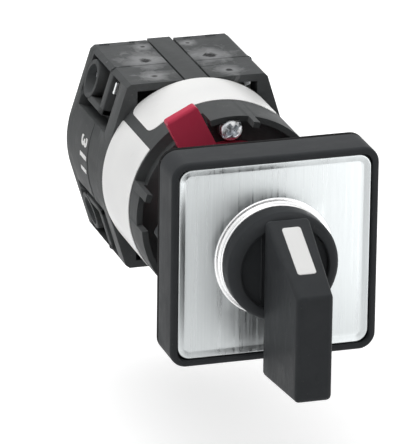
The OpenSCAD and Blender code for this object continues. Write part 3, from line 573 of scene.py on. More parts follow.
def turned(profile):
    """Turns a profile of (radius, y) rows about the Y axis: x = r cos a and z = r sin a."""
    a = np.linspace(0, 2 * math.pi, sizes().turn_steps, endpoint=False)
    r, y = profile[:, 0:1], profile[:, 1:2]
    return np.stack([r * np.cos(a), y + 0 * a, r * np.sin(a)], -1)


def outline_with_normals(corners, radius, steps):
    """A convex outline, counter-clockwise, with each corner rounded: points and their outward normals.
    A corner's arc has its centre on the bisector, at radius over the sine of half the corner's angle."""
    points, normals = [], []
    count = len(corners)
    for i in range(count):
        b = np.array(corners[i], float)
        a, c = np.array(corners[i - 1], float), np.array(corners[(i + 1) % count], float)
        u, v = (a - b) / np.linalg.norm(a - b), (c - b) / np.linalg.norm(c - b)
        half = math.acos(np.clip(u @ v, -1, 1)) / 2
        middle = b + (u + v) / np.linalg.norm(u + v) * radius / math.sin(half)
        n0, n1 = np.array([-u[1], u[0]]), np.array([v[1], -v[0]])
        if n0 @ (b - middle) < 0:
            n0 = -n0
        if n1 @ (b - middle) < 0:
            n1 = -n1
        a0 = math.atan2(n0[1], n0[0])
        turn = (math.atan2(n1[1], n1[0]) - a0 + math.pi) % (2 * math.pi) - math.pi
        a = a0 + turn * np.linspace(0, 1, steps)
        n = np.stack([np.cos(a), np.sin(a)], -1)
        points.append(middle + radius * n)
        normals.append(n)
    return np.concatenate(points), np.concatenate(normals)


def rounded_rectangle(half_w, half_l, radius, steps):
    """Outline of a rectangle with rounded corners, with its outward normals."""
    corners = [(-half_w, -half_l), (half_w, -half_l), (half_w, half_l), (-half_w, half_l)]
    return outline_with_normals(corners, radius, steps)


def swept_outline(points, normals, profile):
    """Carries a profile round an outline: each row is the outline moved inward by the row's inset,
    at the row's depth y, so a point is p - inset * n in x and z."""
    inset, y = profile[:, 0][:, None, None], profile[:, 1][:, None]
    flat = points[None] - inset * normals[None]
    return np.stack([flat[..., 0], y + 0 * flat[..., 0], flat[..., 1]], -1)


def risen(rows, place):
    """Grid of an outline that changes as it rises. A row is (outline, height), and place turns u and v
    across and the height into points."""
    return np.array([place(q[:, 0], q[:, 1], height + 0 * q[:, 0]) for q, height in rows])


# Work on copies of the CAD nodes


def slope_x(z):
    """Place in x of the block's slanted side at height z: (R - z sin t) / cos t, with t its lean."""
    return (BASE_R - z * math.sin(SIDE_LEAN)) / math.cos(SIDE_LEAN)


def slice_block(work):
    """Cuts the block's sides level by level below the tangent point, so that they can be rounded."""
    touch = BASE_R * math.sin(SIDE_LEAN)
    for z in np.linspace(-touch, touch, 13):
        bmesh.ops.bisect_plane(work, geom=work.verts[:] + work.edges[:] + work.faces[:],
                               plane_co=(0, 0, z * MM), plane_no=(0, 0, 1), dist=FINE_WELD)


def round_block(points):
    """Carries the block's six-sided outline onto the base's round: a side point at height z goes from the
    flat x = R - (R - f)|z| / h to the circle x = sqrt(R^2 - z^2) below the tangent point, and above it to
    the line that touches the circle and ends at the top flat's corner."""
    x, z = np.abs(points[:, 0]), np.abs(points[:, 2])
    flat = BASE_R - (BASE_R - BLOCK_FLAT_HALF) * z / BLOCK_HALF_H
    circle = np.sqrt(np.clip(BASE_R ** 2 - z ** 2, 0, None))
    goal = np.where(z < BASE_R * math.sin(SIDE_LEAN), circle, slope_x(z))
    on_side = (x > flat - 0.3) & (z < BLOCK_HALF_H - 0.6)
    points[:, 0] = np.where(on_side, np.copysign(goal, points[:, 0]), points[:, 0])
    return points


def side_place(y, along, out, side, half):
    """Points over the block's slanted side: along runs up the slope from the tangent point, out is the
    height over it, and side and half are the signs of x and z."""
    x = (BASE_R + out) * math.cos(SIDE_LEAN) - along * math.sin(SIDE_LEAN)
    z = (BASE_R + out) * math.sin(SIDE_LEAN) + along * math.cos(SIDE_LEAN)
    return np.stack([side * x, y + 0 * x, half * z], -1)


def opening_cutter():
    """Four boxes, one over each opening of the slanted sides, from its floor to clear of the side."""
    clear = 1.8
    cube = np.array([(i, j, k) for i in (0, 1) for j in (0, 1) for k in (0, 1)], dtype=float)
    quads = np.array([(0, 1, 3, 2), (4, 6, 7, 5), (0, 4, 5, 1), (2, 3, 7, 6), (0, 2, 6, 4), (1, 5, 7, 3)])
    low = np.array([OPENING_Y[0], OPENING_SLOPE[0], -OPENING_DEPTH])
    high = np.array([OPENING_Y[1], OPENING_SLOPE[1], clear])
    y, along, out = (low + (high - low) * cube).T
    points = [side_place(y, along, out, side, half) * MM for side, half in QUARTERS]
    faces = [quads + len(cube) * i for i in range(len(QUARTERS))]
    mesh = bpy.data.meshes.new("opening_cutter")
    mesh.from_pydata(np.concatenate(points).tolist(), [], np.concatenate(faces).tolist())
    work = bmesh.new()
    work.from_mesh(mesh)
    bmesh.ops.recalc_face_normals(work, faces=work.faces)
    work.to_mesh(mesh)
    work.free()
    return mesh


def carve_openings(mesh):
    """Sinks the openings in the block's slanted sides, with a Boolean on two temporary objects."""
    cutter = opening_cutter()
    block = bpy.data.objects.new("opening_work", mesh)
    tool = bpy.data.objects.new("opening_tool", cutter)
    for spare in (block, tool):
        bpy.context.scene.collection.objects.link(spare)
    step = block.modifiers.new("Opening", "BOOLEAN")
    step.object, step.operation, step.solver = tool, "DIFFERENCE", "EXACT"
    carved = bpy.data.meshes.new_from_object(block.evaluated_get(bpy.context.evaluated_depsgraph_get()))
    for spare in (block, tool):
        bpy.data.objects.remove(spare)
    bpy.data.meshes.remove(cutter)
    return carved


def lower_post(points):
    """Takes the rim between the lever's slot and each bolt's window down to the window's depth."""
    window_y, rim_r, start, end = 13.0, 13.0, 8.4, 14.6
    x, y, z = points.T
    lean = np.degrees(np.arctan2(-x, z)) % 180
    points[(np.hypot(x, z) > rim_r) & (lean > start) & (lean < end) & (y < window_y), 1] = window_y
    return points


def round_tab(work):
    """Rounds the corners of the lever's tab, where it stands out of the ring, by half a millimetre."""
    ring_r, sharp_angle = 14.2 * MM, 0.6
    sharp = [e for e in work.edges if len(e.link_faces) == 2 and e.calc_face_angle(0) > sharp_angle
             and min(math.hypot(v.co.x, v.co.z) for v in e.verts) > ring_r]
    bmesh.ops.bevel(work, geom=sharp, offset=0.5 * MM, offset_type="OFFSET", segments=4, profile=0.5,
                    affect="EDGES", clamp_overlap=True)


def softened(node, name, look, width, segments=2, cut=None, move=None, carve=None):
    """A welded copy of a CAD node with its sharp edges rounded by a Bevel modifier; it stands for the node.
    Cut works on its faces first, move takes all its points, in millimetres, to new places, and carve gives
    the mesh that goes on in its stead."""
    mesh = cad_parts[node].data.copy()
    work = bmesh.new()
    work.from_mesh(mesh)
    bmesh.ops.remove_doubles(work, verts=work.verts, dist=CAD_WELD)
    bmesh.ops.dissolve_degenerate(work, edges=work.edges, dist=FINE_WELD)
    bmesh.ops.dissolve_limit(work, angle_limit=math.radians(0.6), verts=work.verts, edges=work.edges,
                             delimit={"NORMAL"})
    if cut:
        cut(work)
    work.to_mesh(mesh)
    if move:
        points = np.empty(3 * len(mesh.vertices), dtype=np.float32)
        mesh.vertices.foreach_get("co", points)
        moved = move(points.reshape(-1, 3).astype(float) / MM) * MM
        mesh.vertices.foreach_set("co", moved.astype(np.float32).ravel())
        work.clear()
        work.from_mesh(mesh)
        bmesh.ops.dissolve_degenerate(work, edges=work.edges, dist=CAD_WELD)
        work.to_mesh(mesh)
    work.free()
    if carve:
        mesh = carve(mesh)
    mesh.name = name
    smooth_shade(mesh, 38.0)
    piece = add_piece(name, mesh, look, (node,))
    edge = piece.modifiers.new("Edge", "BEVEL")
    edge.width = width
    edge.segments = segments
    edge.limit_method = "ANGLE"
    edge.angle_limit = math.radians(32.0)
    edge.use_clamp_overlap = True
    edge.harden_normals = False
    edge.miter_outer = "MITER_ARC"
    return piece


def paint_nodes(finish_name, *nodes):
    """Gives CAD nodes' objects a finish of their own."""
    for node in nodes:
        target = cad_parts[node]
        target.data.materials.clear()
        target.data.materials.append(finish(finish_name))


# Front plate


def ring_at(radius, y, a):
    """One row of points on a circle about the shaft, at depth y and angles a."""
    return np.stack([radius * np.cos(a), 0 * a + y, radius * np.sin(a)], -1)[None]


def bezel_mesh():
    """Rounded-square moulding: the profile runs from the back's inner edge, out round the rim's rolled
    front edge, down inside the rim to the web and in to the hole, then back along the web's rear."""
    corner, roll, rim, rear_rim, hole_r, ease = 2.4, 0.62, 1.0, 1.4, 6.0, 0.15
    points, normals = rounded_rectangle(BEZEL_SIDE / 2, BEZEL_SIDE / 2, corner, 13)
    rolled = arc((roll, Y_BEZEL_FRONT + roll), roll, 180, 270, 9)
    rear = [[rear_rim, Y_WEB_BACK], [rear_rim, Y_BEZEL_BACK], [ease, Y_BEZEL_BACK],
            [0.0, Y_BEZEL_BACK - ease]]
    inside = [[rim - ease, Y_BEZEL_FRONT], [rim, Y_BEZEL_FRONT + 0.12], [rim, Y_WEB_FRONT]]
    body = swept_outline(points, normals, np.concatenate([rear, rolled, inside]))
    a = np.arctan2(points[:, 1], points[:, 0])
    hole = [ring_at(hole_r, y, a) for y in (Y_WEB_FRONT, Y_WEB_BACK)]
    return grid_mesh("bezel_moulding", [np.concatenate([body, *hole, body[:1]])])


def plate_mesh():
    """Pressed metal plate: a flat field in a border that slopes up to its outer edge. Round the hole the
    field rises by a raised cosine of the distance from the hole's edge."""
    corner, border_w, hole_r, top = 1.9, 1.06, 8.16, Y_PLATE_FRONT
    crown_r, crown_w, crown_h = 8.6, 1.2, 0.05
    points, normals = rounded_rectangle(PLATE_SIDE / 2, PLATE_SIDE / 2, corner, 13)
    border = np.array([[0.0, Y_WEB_FRONT], [0.0, top - 0.1], [0.04, top - 0.17], [0.12, top - 0.2],
                       [0.22, top - 0.19], [0.85, top - 0.045], [0.95, top - 0.012], [border_w, top]])
    rim = swept_outline(points, normals, border)
    inner = points - border_w * normals
    a = np.arctan2(inner[:, 1], inner[:, 0])
    share = np.linspace(0, 1, 15)[1:, None]
    r = np.hypot(inner[:, 0], inner[:, 1]) * (1 - share) + hole_r * share
    lift = crown_h * (0.5 + 0.5 * np.cos(np.pi * np.clip((r - crown_r) / crown_w, 0, 1)))
    field = np.stack([r * np.cos(a), top - lift, r * np.sin(a)], -1)
    grid = np.concatenate([rim, field, ring_at(hole_r, Y_WEB_FRONT, a), rim[:1]])
    return grid_mesh("pressed_plate", [grid], 50)


def collar_profile():
    """Half section of the collar: a narrow flange over the plate's hole and a rolled lip round the disc."""
    bore, outer, flange_r, flange_y = 5.95, 8.05, 8.67, -6.27
    bead = arc((flange_r - 0.17, flange_y - 0.05), 0.17, 0, -90, 7)
    lip = arc((outer - 0.3, -7.0), 0.3, 0, -90, 7)
    foot = [[bore, Y_WEB_FRONT], [outer, Y_WEB_FRONT], [outer, flange_y], [flange_r, flange_y]]
    neck = [[outer + 0.15, -6.5], [outer + 0.05, -6.58]]
    face = [[bore + 0.45, -7.3], [bore, -7.25], [bore, Y_WEB_FRONT]]
    return np.concatenate([foot, bead, neck, lip, face])


class CAMSWITCH_OT_front_plate(bpy.types.Operator):
    """Makes the bezel, the pressed plate, the collar and the gasket"""

    bl_idname = "camswitch.front_plate"
    bl_label = "Front plate"

    def execute(self, context):
        add_piece("bezel_moulding", bezel_mesh(), BEZEL, ("bezel_frame",))
        add_piece("pressed_plate", plate_mesh(), PLATE, ("legend_plate",))
        collar = grid_mesh("bright_collar", [turned(collar_profile())])
        add_piece("bright_collar", collar, COLLAR, ("collar_ring",))
        softened("panel_gasket", "soft_gasket", SEAL, 0.15 * MM)
        paint_nodes("Seal rubber", "shaft_seal")
        return {"FINISHED"}


# Handle


def grip_grid():
    """Blade of the handle: the side outline, rounded at its corners, carried across the width.
    The half width falls linearly towards the front, and the long edges are quarter circles:
    a row at angle a is inset by r(1 - cos a) and lies r(1 - sin a) short of the flank."""
    drop, toe, front_half, corner = 15.4, 0.8, 2.6, 0.85
    corners = [(Y_GRIP_BACK, GRIP_TOP), (Y_GRIP_BACK, -drop), (Y_GRIP_FRONT, toe - drop),
               (Y_GRIP_FRONT, GRIP_BROW)]
    points, normals = outline_with_normals(corners, corner, 11)
    r = sizes().edge_round / MM
    middle = points.mean(axis=0)
    rows = [(middle + (points - r * normals - middle) * share, 0.0) for share in np.linspace(0, 1, 9)[:-1]]
    rows += [(points - r * (1 - math.cos(a)) * normals, r * (1 - math.sin(a)))
             for a in np.radians(np.linspace(90, 0, 8))]
    taper = (GRIP_HALF - front_half) / (Y_GRIP_BACK - Y_GRIP_FRONT)
    flank = np.array([np.stack([front_half + taper * (p[:, 0] - Y_GRIP_FRONT) - short, p[:, 0], p[:, 1]], -1)
                      for p, short in rows])
    return np.concatenate([flank * (-1, 1, 1), flank[::-1]])


def disc_profile(radius):
    """Half section of the disc: a round front edge, a lip and a dished face."""
    edge_r, lip_r, bore = 1.4, 0.25, 2.1
    floor = Y_KNOB_FRONT + DISH_DEPTH
    edge = arc((radius - edge_r, Y_KNOB_FRONT + edge_r), edge_r, 0, -90, 12)
    lip = arc((radius - edge_r - 0.05, Y_KNOB_FRONT + lip_r), lip_r, -90, -180, 5)
    back = [[bore, Y_KNOB_BACK], [radius - 0.3, Y_KNOB_BACK], [radius, Y_KNOB_BACK - 0.3]]
    face = [[radius - 1.75, floor - 0.15], [radius - DISH_RIM, floor], [bore - 0.1, floor], [0.0, floor]]
    return np.concatenate([back, edge, lip, face])


def root_bead(side):
    """Thin bead where a flank of the grip meets the disc's dished face: a round section carried down the
    chord that the flank cuts from the dish. At height z its radius is t sqrt(1 - |z / end|^12), which
    draws it in at both ends."""
    thick, off = 0.15, GRIP_HALF + 0.05
    dish_r = sizes().knob_radius / MM - DISH_RIM
    end = math.sqrt(dish_r ** 2 - (off + 0.1) ** 2)
    z = np.linspace(end, -end, 40)
    size = thick * np.sqrt(np.clip(1 - (np.abs(z) / end) ** 12, 0, 1))
    a = np.linspace(0, 2 * math.pi, 16, endpoint=False)
    x = side * (off + size[:, None] * np.cos(a))
    y = Y_KNOB_FRONT + DISH_DEPTH - 0.02 - size[:, None] * np.sin(a)
    return grid_mesh("root_bead", [np.stack([x, y, z[:, None] + 0 * a], -1)], 60)


def marker_mesh():
    """White marker on the slope: a rounded rectangle in the slope's own plane with a soft edge.
    Local u runs across and local v down the slope, and both are turned into the slope's directions."""
    half_w, half_l, corner, sunk, proud = 1.352, 4.3, 0.42, -0.75, 0.085
    start, end = np.array([Y_GRIP_BACK, GRIP_TOP]), np.array([Y_GRIP_FRONT, GRIP_BROW])
    down = (end - start) / np.linalg.norm(end - start)
    up = np.array([down[1], -down[0]])
    middle = start * 0.56 + end * 0.44
    points, normals = rounded_rectangle(half_w, half_l, corner, 8)
    edge = ((0.0, sunk), (0.0, 0.0), (0.03, 0.05), (0.09, 0.075), (0.2, proud))
    rows = [(points * 0, sunk)] + [(points - inset * normals, height) for inset, height in edge]
    rows += [((points - 0.2 * normals) * share, proud) for share in (0.66, 0.33, 0.0)]

    def on_slope(u, v, height):
        flat = middle + v[:, None] * down + height[:, None] * up
        return np.stack([u, flat[:, 0], flat[:, 1]], -1)

    return grid_mesh("pointer_marker", [risen(rows, on_slope)], 40)


class CAMSWITCH_OT_handle(bpy.types.Operator):
    """Makes the handle's disc and blade, its white marker and the shaft's finish"""

    bl_idname = "camswitch.handle"
    bl_label = "Handle"

    def execute(self, context):
        disc = grid_mesh("handle_disc", [turned(disc_profile(sizes().knob_radius / MM))], 40)
        blade = grid_mesh("handle_blade", [grip_grid()], 40)
        add_piece("pistol_handle", joined_mesh("pistol_handle", (disc, blade)), HANDLE, ("handle",))
        add_piece("root_bead_left", root_bead(-1), HANDLE)
        add_piece("root_bead_right", root_bead(1), HANDLE)
        add_piece("pointer_marker", marker_mesh(), MARKER, ("pointer_insert",))
        paint_nodes("Drawn steel", "drive_shaft")
        paint_nodes("Natural plastic", "index_boss", "stop_disc", "contact_cam")
        return {"FINISHED"}


# Neck with its thread, ring and nut


def neck_grid():
    """Bushing turned about the shaft. Between two depths the outer radius is the crest less the thread's
    depth times a triangle wave in y over the pitch less the turn, which winds one ridge round the neck."""
    pitch, depth = sizes().thread_pitch / MM, sizes().thread_depth / MM
    bore, seal_r, nose_r, flange_r, crest = 2.95, 3.85, 5.9, 12.4, 7.9
    start, end, back = -0.1, 11.2, 17.2
    run_out, steep, flat = 0.8, 2.7, 0.17
    a = np.linspace(0, 2 * math.pi, sizes().turn_steps, endpoint=False)
    y = np.linspace(start, end, int((end - start) / pitch * 10))
    phase = (y[:, None] / pitch - a[None] / (2 * math.pi)) % 1.0
    wave = np.clip(np.abs(phase - 0.5) * steep - flat, 0, 1)
    fade = np.clip(np.minimum(y - start, end - y) / run_out, 0, 1)[:, None]
    r = crest - depth * wave * fade
    thread = np.stack([r * np.cos(a), y[:, None] + 0 * a, r * np.sin(a)], -1)
    nose = np.array([[bore, Y_SEAL_SEAT], [seal_r, Y_SEAL_SEAT], [seal_r, Y_NOSE], [nose_r - 0.3, Y_NOSE],
                     [nose_r, Y_NOSE + 0.3], [nose_r, Y_WEB_BACK], [flange_r - 0.2, Y_WEB_BACK],
                     [flange_r, Y_WEB_BACK + 0.2], [flange_r, Y_BEZEL_BACK], [crest, Y_BEZEL_BACK]])
    tail = np.array([[crest, back - 0.2], [crest - 0.2, back], [bore, back], [bore, Y_SEAL_SEAT]])
    return np.concatenate([turned(nose), thread, turned(tail)])


def lug_grid(middle):
    """Bayonet lug as a closed band: its four-cornered section is carried round the arc, and each end
    is closed by drawing the section to its middle. The angle is measured to the left of the top."""
    inner, outer, front, back, half = 7.8, 9.1, 11.6, 13.0, 12
    b = np.radians(middle + np.linspace(-half, half, 10))
    section = np.array([[inner, front], [outer, front], [outer, back], [inner, back]])
    shut = section * 0 + section.mean(axis=0)
    rows = [(shut, b[0])] + [(section, t) for t in b] + [(shut, b[-1])]
    return np.array([np.stack([-s[:, 0] * math.sin(t), s[:, 1], s[:, 0] * math.cos(t)], -1) for s, t in rows])


class CAMSWITCH_OT_neck(bpy.types.Operator):
    """Makes the threaded neck, the adaptor ring and the fixing nut"""

    bl_idname = "camswitch.neck"
    bl_label = "Neck and nut"

    def execute(self, context):
        add_piece("threaded_neck", grid_mesh("threaded_neck", [neck_grid()], 50), NECK, ("head_bushing",))
        for middle in (0, 120, 240):
            add_piece("bayonet_lug_%d" % middle, grid_mesh("bayonet_lug", [lug_grid(middle)], 30), NECK)
        softened("adaptor_ring", "centring_ring", BEZEL, 0.15 * MM)
        softened("fixing_nut", "ring_nut", NUT, 0.3 * MM, segments=3)
        return {"FINISHED"}


# Round base with its lever and labels


def film_mesh(name, node, low, high, corner):
    """Curved film on the round base, as wide as its CAD node: a closed band whose section is carried along
    the arc length s. Near an end, at a distance d less than the corner's radius c, the section's sides draw
    in by c - sqrt(c^2 - (c - d)^2), which rounds the corners. A point at height h stands at radius R + h."""
    foot, shoulder, crown, ease, across = 0.005, 0.08, 0.11, 0.03, 12
    y0, y1 = reach(node, "y")
    s0, s1 = math.radians(low) * BASE_R, math.radians(high) * BASE_R
    near = corner * (1 - np.cos(np.linspace(0, math.pi / 2, 10)))
    along = np.concatenate([s0 + near, np.linspace(s0 + corner, s1 - corner, 64)[1:-1], (s1 - near)[::-1]])
    d = np.clip(np.minimum(along - s0, s1 - along), 0, corner)
    inset = (corner - np.sqrt(np.clip(corner ** 2 - (corner - d) ** 2, 0, None)))[:, None]
    low_y, high_y = y0 + inset, y1 - inset
    top = low_y + ease + (high_y - low_y - 2 * ease) * np.linspace(0, 1, across)[None]
    y = np.concatenate([low_y, low_y, top, high_y, high_y], axis=1)
    h = np.array([foot, shoulder] + [crown] * across + [shoulder, foot])[None] + 0 * y
    shut_y, shut_h = 0 * y[:1] + (y0 + y1) / 2, 0 * h[:1] + 0.05
    y, h = np.concatenate([shut_y, y, shut_y]), np.concatenate([shut_h, h, shut_h])
    lean = (np.concatenate([along[:1], along, along[-1:]]) / BASE_R)[:, None]
    grid = np.stack([-(BASE_R + h) * np.sin(lean), y, (BASE_R + h) * np.cos(lean)], -1)
    return grid_mesh(name, [grid], 40)


class CAMSWITCH_OT_base(bpy.types.Operator):
    """Dresses the round base, its lock lever, index mechanism and labels"""

    bl_idname = "camswitch.base"
    bl_label = "Round base"

    def execute(self, context):
        softened("fixing_base", "round_base", BASE, sizes().moulding_edge, move=lower_post)
        softened("lock_lever", "crimson_lever", LEVER, 0.1 * MM, cut=round_tab)
        paint_nodes("Drawn steel", "index_spring_upper", "index_spring_lower", "stop_plate")
        add_piece("film_top", film_mesh("film_top", "label_top", -40, 45, 1.7), FILM, ("label_top",))
        add_piece("film_side", film_mesh("film_side", "label_side", 51.5, 128, 0.35), FILM, ("label_side",))
        return {"FINISHED"}


# Contact block


def bar_grid(y_span, slope_span, top, side, half):
    """Rounded bar in a side opening: its outline over the slope rises from the foot, and at angle t of the
    top's quarter circle it is drawn in by c(1 - cos t) and lies c(1 - sin t) under the top."""
    foot, corner = -0.2 - OPENING_DEPTH, 0.16
    (y0, y1), (low, high) = y_span, slope_span
    points, normals = rounded_rectangle((y1 - y0) / 2, (high - low) / 2, corner, 5)
    rows = [(points * 0, foot), (points, foot)]
    rows += [(points - corner * (1 - math.cos(t)) * normals, top - corner * (1 - math.sin(t)))
             for t in np.radians(np.linspace(0, 90, 5))]
    rows.append((points * 0, top))
    return risen(rows, lambda u, v, h: side_place((y0 + y1) / 2 + u, (low + high) / 2 + v, h, side, half))


def boss_grid(side, half):
    """Boss round a terminal screw: a tube along X, cut off just under the slope and rounded at its rim.
    A row is its radius and its depth under that cut, and a row without a depth lies at the tube's foot."""
    inner, outer, foot_x, under = 2.05, 2.75, 7.0, 0.04
    a = np.linspace(0, 2 * math.pi, 48, endpoint=False)
    rows = []
    for r, deep in ((inner, None), (inner, 0.08), (inner + 0.07, 0.0), (outer - 0.07, 0.0), (outer, 0.06),
                    (outer, None), (inner, None)):
        z = SCREW_Z + r * np.sin(a)
        x = 0 * z + foot_x if deep is None else slope_x(z) - under - deep
        rows.append(np.stack([side * x, SCREW_Y + r * np.cos(a), half * z], -1))
    return np.array(rows)


def rib_mesh(side, half):
    """The L-shaped rib in one side opening, of two bars, and the boss round its screw."""
    front, low, top = 36.9, 3.3, -0.12
    upright = bar_grid((front, front + 1.7), (low, 9.8), top, side, half)
    level = bar_grid((front, front + 7.3), (low, low + 1.0), top, side, half)
    return grid_mesh("opening_rib", [upright, level, boss_grid(side, half)], 40)


def blades_mesh():
    """Bright edges of the contact blades, one beside each rib, on the side towards the handle."""
    blade_y, blade_slope, top = (35.85, 36.3), (7.0, 8.8), -0.5
    blades = [bar_grid(blade_y, blade_slope, top, side, half) for side, half in QUARTERS]
    return grid_mesh("contact_blades", blades, 40)


def gate_mark(x, y, radius, half):
    """Gate mark of a moulding: a small raised ring with a sunk middle, turned about Z. A row is the share
    of the radius and the height over the block's flat."""
    a = np.linspace(0, 2 * math.pi, 24, endpoint=False)
    circle = radius * np.stack([np.cos(a), np.sin(a)], -1)
    profile = ((0.0, -0.05), (1.0, -0.05), (1.0, 0.0), (0.8, 0.05), (0.6, 0.045), (0.35, -0.02),
               (0.0, -0.03))
    grid = risen([(circle * share, height) for share, height in profile],
                 lambda u, v, h: np.stack([x + u, y + v, half * (BLOCK_HALF_H + h)], -1))
    return grid_mesh("gate_mark", [grid], 50)


def pad_mesh(x, width, half):
    """Small raised pad at the block's rear edge: a rounded rectangle's outline drawn in as it rises."""
    y, length, rise, corner, sunk = 48.35, 0.45, 0.14, 0.12, -0.05
    points, normals = rounded_rectangle(width / 2, length / 2, corner, 5)
    rows = [(points * 0, sunk), (points, sunk), (points, rise * 0.4),
            (points - 0.04 * normals, rise * 0.85), (points - 0.1 * normals, rise), (points * 0, rise)]
    grid = risen(rows, lambda u, v, h: np.stack([x + u, y + v, half * (BLOCK_HALF_H + h)], -1))
    return grid_mesh("rear_pad", [grid], 50)


def block_outline():
    """Two stretches of the block's outline, in x and z: from the strip's groove over the top's right
    corner, and round the right side at the base's radius."""
    groove, rounding = 2.1, 0.3
    tangent = math.degrees(SIDE_LEAN)
    corner = np.array([[groove, BLOCK_HALF_H], [BLOCK_FLAT_HALF - 0.35, BLOCK_HALF_H],
                       [BLOCK_FLAT_HALF + 0.1, BLOCK_HALF_H - rounding]])
    return corner, arc((0, 0), BASE_R, tangent, -tangent, 17)


def bead_along(path, y, side):
    """Half-round bead carried along a path in x and z: at angle a it stands 0.09 sin a proud of the path
    and 0.16 cos a to a side, and its ends are drawn to their middles."""
    ahead = np.gradient(path, axis=0)
    normal = np.stack([-ahead[:, 1], ahead[:, 0]], -1)
    normal /= np.linalg.norm(normal, axis=1)[:, None]
    normal *= np.sign((normal * path).sum(axis=1))[:, None]
    a = np.radians(np.linspace(-40, 220, 9))
    proud, along = 0.09 * np.sin(a), 0.16 * np.cos(a)
    x = path[:, 0:1] + normal[:, 0:1] * proud
    z = path[:, 1:2] + normal[:, 1:2] * proud
    tube = np.stack([side * x, y + along + 0 * x, z], -1)
    shut = [t[None] * 0 + t.mean(axis=0) for t in (tube[0], tube[-1])]
    return np.concatenate([shut[0], tube, shut[1]])


def joint_mesh():
    """Moulded joint line round both halves of the block, left out between the two heights at which a
    side opening cuts it."""
    joint_y, z = 38.0, np.array([13.42, 5.8])
    edge = np.stack([slope_x(z), z], -1)
    corner, side_arc = block_outline()
    upper = np.concatenate([corner, edge[:1]])
    middle = np.concatenate([edge[1:], side_arc, edge[1:] * (1, -1)])
    beads = [bead_along(path, joint_y, side) for side in (-1, 1) for path in (upper, middle, upper * (1, -1))]
    return grid_mesh("joint_line", beads, 60)


def numeral_mesh(text, centre, across, up, out, height):
    """A raised numeral: the text's flat mesh, given a thickness, is laid on a face so that a point
    (u, v, w) goes to centre + u across + v up + w out."""
    curve = bpy.data.curves.new("numeral", "FONT")
    curve.body = text
    curve.size = height
    curve.extrude = 0.06 * MM
    curve.offset = 0.03 * height
    curve.align_x = "CENTER"
    curve.align_y = "CENTER"
    holder = bpy.data.objects.new("numeral", curve)
    mesh = bpy.data.meshes.new_from_object(holder)
    bpy.data.objects.remove(holder)
    bpy.data.curves.remove(curve)
    flat = np.empty(len(mesh.vertices) * 3)
    mesh.vertices.foreach_get("co", flat)
    basis = np.array([across, up, out], float)
    mesh.vertices.foreach_set("co", (np.array(centre) * MM + flat.reshape(-1, 3) @ basis).ravel())
    mesh.update()
    tidy_mesh(mesh, 30, FINE_WELD)
    return mesh


class CAMSWITCH_OT_block(bpy.types.Operator):
    """Dresses the contact block's shells, cover and strips, with gate marks and terminal numbers"""

    bl_idname = "camswitch.block"
    bl_label = "Contact block"

    def execute(self, context):
        self.mouldings()
        self.gate_marks()
        self.openings()
        add_piece("joint_line", joint_mesh(), BLOCK)
        self.rear_pads()
        self.numbers()
        paint_nodes("Natural plastic", "plunger_upper", "plunger_lower")
        paint_nodes("Contact brass", "bridge_upper", "bridge_lower", "fixed_contact_upper_left",
                    "fixed_contact_upper_right", "fixed_contact_lower_left", "fixed_contact_lower_right")
        paint_nodes("Drawn steel", "contact_spring_upper", "contact_spring_lower")
        return {"FINISHED"}

    def mouldings(self):
        """Shells and cover with their sides rounded, and the strips."""
        for node, name, carve in (("front_shell", "front_moulding", carve_openings),
                                  ("rear_shell", "rear_moulding", carve_openings),
                                  ("rear_cover", "cover_moulding", None)):
            softened(node, name, BLOCK, sizes().moulding_edge, cut=slice_block, move=round_block,
                     carve=carve)
        for node, name in (("strip_upper", "top_strip"), ("strip_lower", "bottom_strip")):
            softened(node, name, BASE, 0.08 * MM)

    def gate_marks(self):
        """Gate marks on the top and the underside, each (x, y, radius)."""
        for i, mark in enumerate(((-4.85, 39.8, 0.55), (4.85, 39.8, 0.55), (6.2, 32.7, 0.35))):
            for half, face in FACES:
                add_piece("gate_mark_%d_%s" % (i, face), gate_mark(*mark, half), BLOCK)

    def openings(self):
        """Ribs with their bosses in the side openings, and the contact blades beside them."""
        for side, half in QUARTERS:
            place = "%s_%s" % ("left" if side < 0 else "right", "lower" if half < 0 else "upper")
            add_piece("opening_rib_" + place, rib_mesh(side, half), BLOCK)
        add_piece("contact_blades", blades_mesh(), ZINC)

    def rear_pads(self):
        """Pads at the rear edge of the top and the underside, each (x, width)."""
        for i, pad in enumerate(((-8.6, 1.5), (-4.4, 0.8), (4.0, 1.1), (7.6, 1.6))):
            for half, face in FACES:
                add_piece("rear_pad_%d_%s" % (i, face), pad_mesh(*pad, half), BLOCK)

    def numbers(self):
        """Plain terminal numbers and a link bar on the block's round sides, their tops towards the front.
        At height z the side faces (cos a, sin a) with sin a = z / R."""
        up, middle_y = np.array([0.0, -1.0, 0.0]), 40.3
        for side, face, upper, lower in ((-1, "left", "3", "1"), (1, "right", "2", "4")):
            for text, kind, z, scale in ((upper, "terminal_number", 2.35, 1.0),
                                         ("I", "link_mark", 0.15, 1.15),
                                         (lower, "terminal_number", -1.95, 1.0)):
                lean = math.asin(z / BASE_R)
                out = np.array([side * math.cos(lean), 0, math.sin(lean)])
                centre = out * (BASE_R - 0.01) + np.array([0, middle_y, 0])
                mesh = numeral_mesh(text, centre, np.cross(up, out), up, out, sizes().numeral_height * scale)
                add_piece("%s_%s_%s" % (kind, text, face), mesh, NUMERAL)


# Fasteners

# Sizes of each kind in millimetres: head, shank, the head's seat along its axis, and the thread's pitch
TIE_BOLT = {"head_r": 1.7, "head_h": 1.4, "shank_r": 0.8, "shank_len": 34.0, "seat": 14.5, "pitch": 0.4}
TERMINAL_SCREW = {"head_r": 2.0, "head_h": 1.2, "shank_r": 1.19, "shank_len": 4.0, "seat": 9.4,
                  "pitch": 0.45}


def smooth_step(v):
    """Smooth step v^2 (3 - 2v) of a value held between 0 and 1."""
    v = np.clip(v, 0, 1)
    return v ** 2 * (3 - 2 * v)


